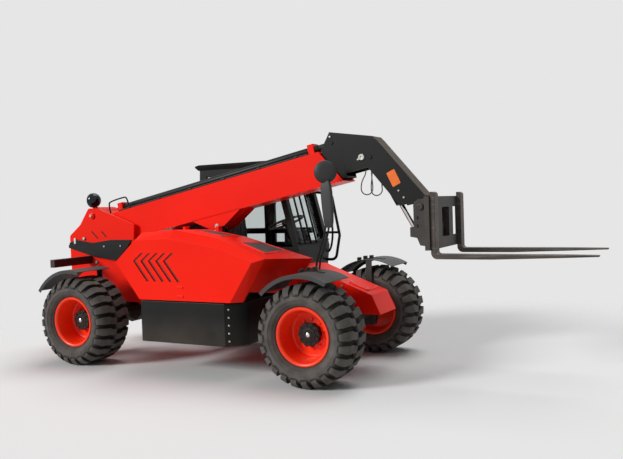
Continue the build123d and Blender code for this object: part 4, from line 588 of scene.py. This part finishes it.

# Pressed louvres: each slot has a turned lip behind it and a step ahead of it, bent like the slot. The step is
# painted shade: enamel coloured a dark maroon-brown that stands for the shadow in each louvre.
louvre_painted_shade, *_ = weathered("louvre_shade_enamel", "#4d1109", "#74200f", 40.0, 4.0, 0.1, (0.5, 0.65))
HOOD_SIDE_Y, LOUVRES, LOUVRE_PITCH = -0.850, 5, 0.086
APEX_X, APEX_Z = 0.764, 1.012
bend = np.concatenate([
    np.linspace((0.092, 0.070), (0.0, 0.0), 6), np.linspace((0.0, 0.0), (0.150, -0.185), 9)[1:]
])
for part_name, finish, section in (
    ("lips", red_enamel, [(-0.010, -0.001), (-0.007, 0.004), (-0.001, 0.006), (0.0, -0.001)]),
    ("steps", louvre_painted_shade, [(0.013, -0.001), (0.013, 0.0012), (0.027, 0.0012), (0.027, -0.001)]),
):
    section = np.array(section)
    louvre_x = APEX_X + LOUVRE_PITCH * np.arange(LOUVRES)[:, None, None] + bend[:, :1] + section[:, 0]
    louvre = xyz(louvre_x, HOOD_SIDE_Y - section[:, 1], APEX_Z + bend[:, 1:])
    skin("louvre_" + part_name, louvre, finish, "hood")


# Cab: a frame of square tube and sheet with a pressed roof, powder-coated black, and flat tinted panes.
# Bars guard the windscreen; a bent rail and the door's handle are on the entry side.
coat(black_coat, "cab_frame", "cab_door", edge_mm=4.0)
# Textured powder coat of the roof: coarser and duller than the frame's, so that it doesn't glare.
roof_coat, *_ = weathered(
    "textured_powder_coat", "#0b0b0b", "#171615", 250.0, 4.0, 0.15, (0.7, 0.82), specular=0.08
)
coat(roof_coat, "cab_roof", edge_mm=4.0)
coat(black_coat, "grab_rail", edge_mm=0.0)
# Toughened glass with a light grey tint.
tinted_glass, *_ = weathered(
    "tinted_glass", "#dfe4e4", "#e6eaea", 400.0, 60.0, 0.0, (0.01, 0.03), transmission=1.0, ior=1.15
)
coat(tinted_glass, "cab_glass", "door_glass", edge_mm=0.0)


def round_bar(r, sides=10):
    """Circle of a bar's section."""
    turn = np.linspace(0.0, 2.0 * math.pi, sides, endpoint=False)
    return np.stack([r * np.cos(turn), r * np.sin(turn)], axis=-1)


def eased(points, steps=8):
    """A line bent softly round its points: between the middles of its runs, (1-t)^2 a + 2t(1-t) p + t^2 b."""
    points = np.asarray(points, float)
    middles = (points[:-1] + points[1:]) / 2
    a = np.concatenate([points[:1], middles[1:]])[: len(points) - 2]
    b = np.concatenate([middles[1:-1], points[-1:]])
    t = np.linspace(0.0, 1.0, steps, endpoint=False)[:, None, None]
    bends = (1 - t) ** 2 * a + 2 * t * (1 - t) * points[1:-1] + t**2 * b
    return np.concatenate([bends.transpose(1, 0, 2).reshape(-1, 3), points[-1:]])


# The windscreen's middle line, from its foot to its top, in x and z.
SCREEN_X, SCREEN_Z = (1.893, 1.712), (1.08, 1.80)
GUARD_AHEAD, CROSS_AHEAD = 0.022, 0.012
for number, y in enumerate((0.32, 0.44, 0.56), 1):
    guard_path = xyz(np.linspace(*SCREEN_X, 8) + GUARD_AHEAD, y, np.linspace(*SCREEN_Z, 8))
    bar(f"screen_guard_{number}", guard_path, flat_bar(0.009, 0.004), (0, 1, 0), "chassis")
for label, z in (("low", 1.10), ("high", 1.78)):
    cross_path = xyz(np.interp(z, SCREEN_Z, SCREEN_X) + CROSS_AHEAD, np.linspace(0.24, 0.845, 8), z)
    bar(f"screen_cross_{label}", cross_path, round_bar(0.011), (0, 0, 1), "chassis")
inner_rail = eased([
    (1.865, 0.85, 1.56), (1.915, 0.85, 1.545), (1.965, 0.85, 1.20), (1.930, 0.85, 0.98), (1.895, 0.85, 0.97),
])
bar("inner_rail", inner_rail, round_bar(0.011), (0, 1, 0), "chassis")
ARM_RAIL_Y, ARM_RAIL_Z = 0.828, 1.198
arm_rail_section = np.stack(squarish(20, 0.5), axis=-1) * [0.018, 0.031]
for number, (rail_ends, body) in enumerate((((0.86, 1.145), "chassis"), ((1.26, 1.74), "door")), 1):
    arm_line = xyz(np.linspace(*rail_ends, 10), ARM_RAIL_Y, ARM_RAIL_Z)
    bar(f"arm_rail_{number}", arm_line, arm_rail_section, (0, 0, 1), body)
HANDLE_Z = 0.99
handle_xy = [(1.60, 0.884), (1.60, 0.925), (1.66, 0.932), (1.72, 0.925), (1.72, 0.884)]
bar("door_handle", eased([(x, y, HANDLE_Z) for x, y in handle_xy]), round_bar(0.009), (0, 0, 1), "door")
# A cut plate on the cab's rear post, in black, fills the slot in which the boom comes down: painted shade, a dark
# sheet that stands for the shadow in that gap.
slot_shade_plate = cut_plate(
    [(0.335, 1.255), (0.700, 1.335), (0.745, 1.335), (0.745, 1.050), (0.620, 1.050), (0.360, 1.200)],
    (0.0, 0.0), [(0.229, 1.0), (0.235, 1.0)],
)
skin("slot_shade_plate", slot_shade_plate, black_coat, "chassis")


# Operator's place: sprung seat with a vinyl cushion and back, dash column and steering wheel.
# The cushion's cover is drawn in a little from the solid's form, blown out again and sewn in channels.
# Black vinyl: fine leather grain at 3 mm with a soft sheen.
seat_vinyl, *_ = weathered("seat_vinyl", "#151515", "#202020", 60.0, 3.0, 0.4, (0.45, 0.6))
SEAT_Y = 0.54
SEAT_VOXEL, SWELL = 0.006, 0.012
SEAM_AT, SEAM_DEPTH, SEAM_WIDE = np.array([-0.12, -0.04, 0.04, 0.12]), 0.005, 0.008
cushion_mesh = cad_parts["seat_cushion"].data.copy()
cushion = bpy.data.objects.new("seat_pad", cushion_mesh)
scene.collection.objects.link(cushion)
shell = bmesh.new()
shell.from_mesh(cushion_mesh)
bmesh.ops.remove_doubles(shell, verts=shell.verts, dist=1e-5)
shell.to_mesh(cushion_mesh)
shell.free()
remesh = cushion.modifiers.new("even", "REMESH")
remesh.mode = "VOXEL"
remesh.voxel_size = SEAT_VOXEL
depsgraph = bpy.context.evaluated_depsgraph_get()
even_mesh = bpy.data.meshes.new_from_object(cushion.evaluated_get(depsgraph))
cushion.modifiers.clear()
cushion.data = even_mesh
count = len(even_mesh.vertices)
rest, normals = np.empty(count * 3), np.empty(count * 3)
even_mesh.vertices.foreach_get("co", rest)
even_mesh.vertices.foreach_get("normal", normals)
rest, normals = rest.reshape(-1, 3), normals.reshape(-1, 3)
rest = rest - SWELL * normals
even_mesh.vertices.foreach_set("co", rest.ravel())
cloth = cushion.modifiers.new("swell", "CLOTH")
cloth.settings.use_pressure = True
cloth.settings.uniform_pressure_force = 4.0
cloth.settings.effector_weights.gravity = 0.0
for step in range(1, 21):
    scene.frame_set(step)
depsgraph = bpy.context.evaluated_depsgraph_get()
swollen = np.empty(count * 3)
cushion.evaluated_get(depsgraph).data.vertices.foreach_get("co", swollen)
move = swollen.reshape(-1, 3) - rest
length = np.linalg.norm(move, axis=1, keepdims=True)
rest = rest + move * np.minimum(1.0, SWELL / np.maximum(length, 1e-9))
cushion.modifiers.clear()
scene.frame_set(1)
# Sewn channels run along the pad: a smooth groove of 5 mm at each seam.
seam = np.abs(rest[:, 1:2] - SEAT_Y - SEAM_AT).min(axis=1, keepdims=True)
sewn = rest - SEAM_DEPTH * np.exp(-((seam / SEAM_WIDE) ** 2)) * normals
even_mesh.vertices.foreach_set("co", sewn.ravel())
even_mesh.materials.clear()
even_mesh.materials.append(seat_vinyl)
even_mesh.shade_smooth()
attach(cushion, "chassis")
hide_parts("seat_cushion")

# Moulded ABS: dark grey, with a fine spark grain.
moulded_abs, *_ = weathered("moulded_abs", "#161616", "#232322", 80.0, 2.0, 0.15, (0.45, 0.6))
coat(moulded_abs, "seat_base", edge_mm=6.0)
STEERING_AT, STEERING_TILT, STEERING_R = np.array([1.575, SEAT_Y, 1.290]), math.radians(20.6), 0.180
tilt_cos, tilt_sin = math.cos(STEERING_TILT), math.sin(STEERING_TILT)
steering_axis = np.array([-tilt_sin, 0.0, tilt_cos])
wheel_ring = spun(round_bar(0.0125, 12)[:, ::-1] + [0.0, STEERING_R], 56, STEERING_AT, steering_axis)
ring_piece = skin("steering_ring", wheel_ring, moulded_abs, "chassis", wrap=(True, True), caps=False)
column_path = eased([(1.70, SEAT_Y, 0.682), (1.715, SEAT_Y, 0.85), (1.69, SEAT_Y, 1.02), (1.655, SEAT_Y, 1.10)])
column_width = np.interp(np.linspace(0, 1, len(column_path)), [0, 0.5, 1], [0.115, 0.115, 0.085])[:, None]
square_y, square_x = squarish(48, 0.4)
column_shell = column_path[:, None] + xyz(square_x * 0.075, square_y * column_width, 0.0)
skin("dash_column", column_shell, moulded_abs, "chassis")
skin("dash_pod", block((1.700, SEAT_Y, 1.135), (0.070, 0.150, 0.075)), moulded_abs, "chassis")
BOSS_PROFILE = [
    (-0.215, 0.030), (-0.12, 0.026), (-0.03, 0.024), (-0.022, 0.042), (0.010, 0.044), (0.018, 0.030), (0.020, 0.0),
]
skin("steering_boss", spun(BOSS_PROFILE, 28, STEERING_AT, steering_axis), moulded_abs, "chassis")
for number, turn in enumerate(np.radians([90.0, 210.0, 330.0]), 1):
    out = math.cos(turn) * np.array([tilt_cos, 0, tilt_sin]) + math.sin(turn) * np.array([0, 1.0, 0])
    spoke_path = STEERING_AT + np.linspace(0.03, 0.175, 8)[:, None] * out
    spoke = swept(spoke_path, round_bar(0.008) * [1.6, 0.6], steering_axis)
    skin(f"steering_spoke_{number}", spoke, moulded_abs, "chassis")
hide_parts("steering_column")


# Rear lamps and work lamp: lamp bars with ribbed red lenses, small opal markers, and a round lamp on the crown.
# The lenses are moulded acrylic; the work lamp's bowl is pressed and plated, on a short stem.
# Moulded acrylic lens: clear red with prisms at a 6 mm pitch.
red_lens, tree, shader, where, *_ = weathered(
    "red_acrylic_lens", "#8c0806", "#a50d0a", 80.0, 6.0, 0.1, (0.08, 0.16)
)
prism = add(tree, "ShaderNodeTexWave", [("Vector", where), ("Scale", 50.0)], bands_direction="Y").outputs["Fac"]
ribbed = add(tree, "ShaderNodeBump", [("Height", prism), ("Distance", 0.002)]).outputs["Normal"]
tree.links.new(ribbed, shader.inputs["Normal"])
# Opal acrylic of the small marker lamps: white, slightly clouded.
clear_lens, *_ = weathered("opal_acrylic_lens", "#dcd9d2", "#f2f0ea", 20.0, 3.0, 0.05, (0.15, 0.25))
# Lamp housing: maroon-black moulding.
lamp_housing, *_ = weathered("lamp_housing", "#1a0c0b", "#2a1210", 60.0, 3.0, 0.1, (0.35, 0.5))
coat(lamp_housing, "tail_lamps", edge_mm=3.0)
LENS_X, LENS_Y, LENS_Z = -0.462, 0.5625, 0.958
LENS_HALF_Y, LENS_HALF_Z = 0.1195, 0.0265
lens_y, lens_z = squarish(48, 0.2)
LENS_DOME = np.array([(0.0, 1.0), (-0.006, 0.99), (-0.009, 0.93), (-0.010, 0.60), (-0.010, 0.0)])
dome_x, dome_share = LENS_DOME[:, :1], LENS_DOME[:, 1:]
for hand, side in HANDS:
    dome_y = side * LENS_Y + LENS_HALF_Y * lens_y * dome_share
    lens = xyz(LENS_X + dome_x, dome_y, LENS_Z + LENS_HALF_Z * lens_z * dome_share)
    skin(f"tail_lens_{hand}", lens, red_lens, "chassis")
    marker = block((-0.645, side * 0.190, 1.158), (0.013, 0.009, 0.030), 1)
    skin(f"marker_lens_{hand}", marker, clear_lens, "chassis")
# Hard chrome: a bright mirror finish, on the mirror's glass and the cylinders' rods.
chrome, *_ = weathered("hard_chrome", "#c9c9c9", "#dededc", 60.0, 1.5, 0.005, (0.08, 0.16), metallic=1.0)
# Smoked chrome of the lamp's bowl: a dark mirror finish.
smoked_chrome, *_ = weathered("smoked_chrome", "#26282a", "#383b3e", 40.0, 2.0, 0.01, (0.08, 0.18), metallic=1.0)
LAMP_AT, LAMP_SCALE, LAMP_AXIS = np.array([-0.365, -0.174, 1.589]), 1.3, (1, 0, 0)
BOWL_PROFILE = LAMP_SCALE * np.array([
    (-0.020, 0.0), (-0.020, 0.050), (-0.022, 0.057), (-0.016, 0.060), (0.012, 0.0595), (0.024, 0.055),
    (0.040, 0.043), (0.050, 0.026), (0.0515, 0.0),
])
LENS_PROFILE = LAMP_SCALE * np.array([(-0.019, 0.0505), (-0.024, 0.049), (-0.027, 0.035), (-0.029, 0.0)])
bowl = skin("work_lamp_bowl", spun(BOWL_PROFILE, 40, LAMP_AT, LAMP_AXIS), smoked_chrome, "chassis")
skin("work_lamp_lens", spun(LENS_PROFILE, 40, LAMP_AT, LAMP_AXIS), clear_lens, "chassis")
stem_path = xyz(LAMP_AT[0], LAMP_AT[1], np.linspace(1.504, 1.540, 6))
bar("work_lamp_stem", stem_path, round_bar(0.010), (1, 0, 0), "chassis")
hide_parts("work_lamp")


# Mirror: a round convex glass turned to the driver, over a tall moulded one, by the nose.
# Both shells are moulded, and stand on two bent steel rods that are welded to a foot.
MIRROR_AT, MIRROR_BACK = np.array([2.468, -0.305, 1.743]), np.array([0.50, -0.866, 0.0])
SHELL_PROFILE = [
    (-0.014, 0.094), (-0.020, 0.096), (-0.023, 0.099), (-0.010, 0.100), (0.004, 0.095), (0.016, 0.075),
    (0.022, 0.045), (0.023, 0.0),
]
GLASS_PROFILE = [(0.013, 0.0945), (0.016, 0.060), (0.017, 0.0)]
round_shell = spun(SHELL_PROFILE, 48, MIRROR_AT, MIRROR_BACK)
mirror_shell = skin("mirror_shell", round_shell, moulded_abs, "chassis")
skin("mirror_glass", spun(GLASS_PROFILE, 48, MIRROR_AT, -MIRROR_BACK), chrome, "chassis")
STALK_Y = -0.300
stalk_xz = [(2.345, 0.855), (2.350, 0.960), (2.405, 1.100), (2.455, 1.250), (2.470, 1.450), (2.470, 1.680)]
stalk = eased([(x, STALK_Y, z) for x, z in stalk_xz])
rods = np.stack([swept(stalk + [shift, 0.0, 0.0], round_bar(0.009), (0, 1, 0)) for shift in (-0.004, 0.028)])
skin("mirror_stalk", rods, black_coat, "chassis")
tall_line = xyz(np.linspace(2.464, 2.484, 10), STALK_Y, np.linspace(1.665, 1.262, 10))
tall_width = np.array([0.70, 0.92, 1.0, 1.0, 1.0, 0.98, 0.95, 0.90, 0.82, 0.60])[:, None]
tall_x, tall_y = squarish(32, 0.4)
tall_mirror = tall_line[:, None] + xyz(tall_width * tall_x * 0.052, tall_width * tall_y * 0.020, 0.0)
skin("tall_mirror", tall_mirror, moulded_abs, "chassis")
mirror_foot = block((2.345, -0.252, 0.8545), (0.034, 0.067, 0.0065))
skin("mirror_foot", mirror_foot, black_coat, "chassis")
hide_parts("mirror_post")


# Boom: a welded box in the red enamel, with the black telescope tube and its clamps on top.
# Chromed rods run in the tubes; pins are held by bolted keepers.
coat(red_enamel, "outer_boom", edge_mm=3.0)
coat(black_coat, "telescope_barrel", "lift_barrel", "tilt_barrel", edge_mm=1.5)
coat(chrome, "telescope_rod", "lift_rod", "tilt_rod", edge_mm=0.0)
BOOM_PIVOT, BOOM_SLOPE = np.array([-0.385, 0.0, 1.425]), math.radians(11.2)
slope_cos, slope_sin = math.cos(BOOM_SLOPE), math.sin(BOOM_SLOPE)
boom_axis, up_boom = (slope_cos, 0, slope_sin), (-slope_sin, 0, slope_cos)


def along_boom(points):
    """Points given along the boom from its pivot, across it and above it, turned by its slope."""
    u, y, n = np.moveaxis(np.asarray(points, float), -1, 0)
    return BOOM_PIVOT + np.stack([u * slope_cos - n * slope_sin, y, u * slope_sin + n * slope_cos], axis=-1)


PIPE_N, PIPE_R = -0.014, 0.0095
for number, pipe_y in enumerate((-0.095, -0.069, 0.095), 1):
    pipe = along_boom(xyz(np.linspace(0.30, 2.62, 24), pipe_y, PIPE_N))
    bar(f"boom_pipe_{number}", pipe, round_bar(PIPE_R), up_boom, "boom")
clip_u, clip_half_u = np.linspace(0.45, 2.5, 6)[:, None, None], np.array([-0.02, -0.018, 0.018, 0.02])[:, None]
clip_wide, clip_high = np.array([0.94, 1, 1, 0.94])[:, None], np.array([0.9, 1, 1, 0.9])[:, None]
clip_y, clip_n = squarish(24, 0.3)
clips = xyz(clip_u + clip_half_u, -0.082 + 0.032 * clip_y * clip_wide, -0.0135 + 0.0125 * clip_n * clip_high)
skin("boom_pipe_clips", along_boom(clips), black_coat, "boom")
GUARD_Y = -0.080
guard_un = [(0.165, -0.03), (0.160, 0.085), (0.185, 0.110), (0.385, 0.115), (0.430, 0.100), (0.435, -0.03)]
guide = along_boom(eased([(u, GUARD_Y, n) for u, n in guard_un]))
bar("boom_hose_guard", guide, round_bar(0.008), (0, 1, 0), "boom")
SLEEVE_PROFILE = [(0.0, 0.022), (0.0, 0.032), (0.004, 0.034), (0.090, 0.034), (0.094, 0.031), (0.094, 0.022)]
rod_sleeve = spun(SLEEVE_PROFILE, 32, along_boom([(2.707, 0.0, 0.021)]), boom_axis)
skin("rod_sleeve", rod_sleeve, black_coat, "extension")
LIFT_PIN_U, LIFT_PIN_N = 1.518, -0.440
CHEEK_OUTLINE = [
    (1.230, -0.330), (1.830, -0.330), (1.590, -0.460), (1.555, -0.478), (1.480, -0.478), (1.440, -0.460),
]
CHEEK_ROWS = np.array([(0.117, 1.0), (0.128, 1.0), (0.130, 0.985)])
CAP_PROFILE = np.array([
    (-0.004, 0.024), (0.004, 0.024), (0.007, 0.020), (0.007, 0.009), (0.004, 0.008), (0.004, 0.0),
])
for hand, side in HANDS:
    outward = (0, side, 0)
    cheek = along_boom(cut_plate(CHEEK_OUTLINE, (LIFT_PIN_U, -0.400), CHEEK_ROWS * [side, 1]))
    skin(f"lift_cheek_{hand}", cheek, red_enamel, "boom")
    lift_pin = along_boom([(LIFT_PIN_U, side * 0.131, LIFT_PIN_N)])
    skin(f"lift_pin_{hand}", spun(CAP_PROFILE, 32, lift_pin, outward), zinc, "boom")
    pivot_caps = np.array([(-0.385, side * 0.197, 1.425), (-0.320, side * 0.197, 0.880)])
    tower_pins = spun(CAP_PROFILE * [1, 1.4], 36, pivot_caps, outward)
    skin(f"tower_pins_{hand}", tower_pins, red_enamel, "chassis")
    bolts(f"tower_keepers_{hand}", 0.030, 0.014, pivot_caps + [0, side * 0.004, 0], outward, "chassis")


# Boom head: a cranked welded box in black, with the tilt cylinder inside and a folded front plate.
# A plain orange reflective patch is stuck on its right cheek.
coat(black_coat, "inner_boom", edge_mm=3.0)
# Retroreflective film: bright orange with fine cells.
orange_film, *_ = weathered("orange_film", "#f06a10", "#ff7e1c", 60.0, 5.0, 0.05, (0.3, 0.4))
PATCH_LONG, PATCH_SHORT = np.array([0.430, 0.0, -0.903]), np.array([0.903, 0.0, 0.430])
PATCH_FACES = np.array([(3.011, -0.1035, 1.668), (3.011, -0.1052, 1.668)])[:, None]
patch_u, patch_n = (half[:, None] for half in squarish(40, 0.12))
film_share = np.array([1.0, 0.985])[:, None, None]
film = PATCH_FACES + (0.040 * patch_u * PATCH_SHORT + 0.067 * patch_n * PATCH_LONG) * film_share
skin("head_patch", film, orange_film, "extension")
HEAD_BOLTS = ((2.424, 2.060), (2.690, 1.845), (3.055, 1.560), (3.100, 1.500))
for hand, side in HANDS:
    outward = (0, side, 0)
    head_cap = spun(CAP_PROFILE * [2.2, 1.25], 32, [(2.722, side * 0.104, 1.862)], outward)
    skin(f"head_pin_{hand}", head_cap, zinc, "extension")
    centres = [(x, side * 0.105, z) for x, z in HEAD_BOLTS]
    bolts(f"head_bolts_{hand}", 0.018, 0.009, centres, outward, "extension")
# Dusty primer of the front plate, which gathers what falls from the load.
dusty_primer, *_ = weathered("dusty_primer", "#3d342b", "#5d5145", 60.0, 5.0, 0.2, (0.7, 0.85))
face_line = np.linspace((3.290, -0.057), (3.612, -0.631), 12)
face_out = np.array([0.872, 0.489])
face_section = np.array([(-0.094, -0.002), (-0.094, 0.004), (0.094, 0.004), (0.094, -0.002)])
face_un = face_line[:, None] + face_section[:, 1:] * face_out
face = xyz(face_un[..., 0], face_section[:, 0], face_un[..., 1])
skin("head_face_plate", along_boom(face), dusty_primer, "extension")


# Fork carriage and forks: a welded frame of rolled bar in a brown-grey primer, hung on the boom head's pin.
# The forks are forged and blackened, and hooked over the frame.
# Primer on rolled bar: dull umber grey with darker handling marks.
carriage_primer, *_ = weathered("umber_primer", "#1f1a17", "#352d28", 120.0, 3.0, 0.1, (0.5, 0.68))
coat(carriage_primer, "carriage", edge_mm=3.0)
# Forged steel, oil-blackened: scale at 6 mm, rubbed paler along the blade.
forged_steel, tree, shader, where, tone, _ = weathered(
    "forged_steel", "#2c2724", "#4a423b", 200.0, 6.0, 0.12, (0.42, 0.6), metallic=0.3
)
stretched = add(tree, "ShaderNodeMapping", [("Vector", where), ("Scale", (3.0, 90.0, 90.0))]).outputs["Vector"]
scratch = add(
    tree, "ShaderNodeTexNoise", [("Vector", stretched), ("Scale", 1.0), ("Detail", 3.0)]
).outputs["Fac"]
rubbed = add(
    tree, "ShaderNodeMapRange", [("Value", scratch), ("From Min", 0.55), ("From Max", 0.75)]
).outputs["Result"]
streaked = add(tree, "ShaderNodeMixRGB", [("Fac", rubbed), ("Color1", tone), ("Color2", paint("#6f665d"))])
tree.links.new(streaked.outputs["Color"], shader.inputs["Base Color"])
coat(forged_steel, "forks", edge_mm=4.0)
EAR_BOLTS = ((3.215, 1.33), (3.215, 1.26), (3.30, 1.45), (3.30, 1.24), (3.34, 1.14))
for hand, side in HANDS:
    outward = (0, side, 0)
    centres = [(x, side * 0.130, z) for x, z in EAR_BOLTS]
    bolts(f"ear_bolts_{hand}", 0.022, 0.011, centres, outward, "fork_carriage", carriage_primer)
    hinge_cap = spun(CAP_PROFILE * [1, 1.15], 32, [(3.250, side * 0.140, 1.420)], outward)
    skin(f"hinge_pin_{hand}", hinge_cap, forged_steel, "fork_carriage")


# Floor and light: a pale studio floor that melts into the background, a low key light from the machine's right
# and rear, a wide one overhead that throws the shadow to the camera's side, and a plain grey sky.
BACKGROUND = paint("#e6e6e6")
SKY_LEVEL = 0.17
FLOOR_HALF = 30
FADE_FROM, FADE_TO = 2.4, 5.5
floor_mesh = bpy.data.meshes.new("studio_floor")
floor_corners = [(x * FLOOR_HALF, y * FLOOR_HALF, 0) for x, y in ((-1, -1), (1, -1), (1, 1), (-1, 1))]
floor_mesh.from_pydata(floor_corners, [], [(0, 1, 2, 3)])
floor = bpy.data.objects.new("studio_floor", floor_mesh)
scene.collection.objects.link(floor)
floor_paper = bpy.data.materials.new("studio_paper")
floor_paper.use_nodes = True
tree = floor_paper.node_tree
shader = tree.nodes["Principled BSDF"]
shader.inputs["Base Color"].default_value = BACKGROUND
shader.inputs["Roughness"].default_value = 1.0
shader.inputs["Specular IOR Level"].default_value = 0.0
where = add(tree, "ShaderNodeTexCoord").outputs["Object"]
reach = add(tree, "ShaderNodeVectorMath", [(0, where)], operation="LENGTH").outputs["Value"]
fade = add(
    tree, "ShaderNodeMapRange",
    [("Value", reach), ("From Min", FADE_FROM), ("From Max", FADE_TO)], interpolation_type="SMOOTHSTEP",
).outputs["Result"]
clear = add(tree, "ShaderNodeBsdfTransparent").outputs["BSDF"]
blend = add(tree, "ShaderNodeMixShader", [(0, fade), (1, shader.outputs["BSDF"]), (2, clear)])
tree.links.new(blend.outputs["Shader"], tree.nodes["Material Output"].inputs["Surface"])
floor_mesh.materials.append(floor_paper)

# The sky's grey lights the machine; the camera, gloss and glass see the background's colour instead.
world = bpy.data.worlds.new("studio")
world.use_nodes = True
scene.world = world
tree = world.node_tree
ray = add(tree, "ShaderNodeLightPath")
seen = ray.outputs["Is Camera Ray"]
for ray_kind in ("Is Glossy Ray", "Is Transmission Ray"):
    either = add(tree, "ShaderNodeMath", [(0, seen), (1, ray.outputs[ray_kind])], operation="MAXIMUM")
    seen = either.outputs["Value"]
backdrop = add(
    tree, "ShaderNodeMixRGB", [("Fac", seen), ("Color1", (SKY_LEVEL,) * 3 + (1.0,)), ("Color2", BACKGROUND)]
)
tree.links.new(backdrop.outputs["Color"], tree.nodes["Background"].inputs["Color"])

for lamp_name, towards, strength, spread in (
    ("low_key", (0.54, 0.72, -0.42), 2.5, 18.0),
    ("overhead", (-0.10, -0.38, -0.92), 1.7, 45.0),
):
    lamp_data = bpy.data.lights.new(lamp_name, "SUN")
    lamp_data.energy = strength
    lamp_data.angle = math.radians(spread)
    lamp = bpy.data.objects.new(lamp_name, lamp_data)
    scene.collection.objects.link(lamp)
    yaw = math.atan2(towards[1], towards[0])
    pitch = math.atan2(towards[2], math.hypot(towards[0], towards[1]))
    lamp.matrix_world = camera_matrix((0.0, 0.0, 5.0), yaw, pitch, 0.0)
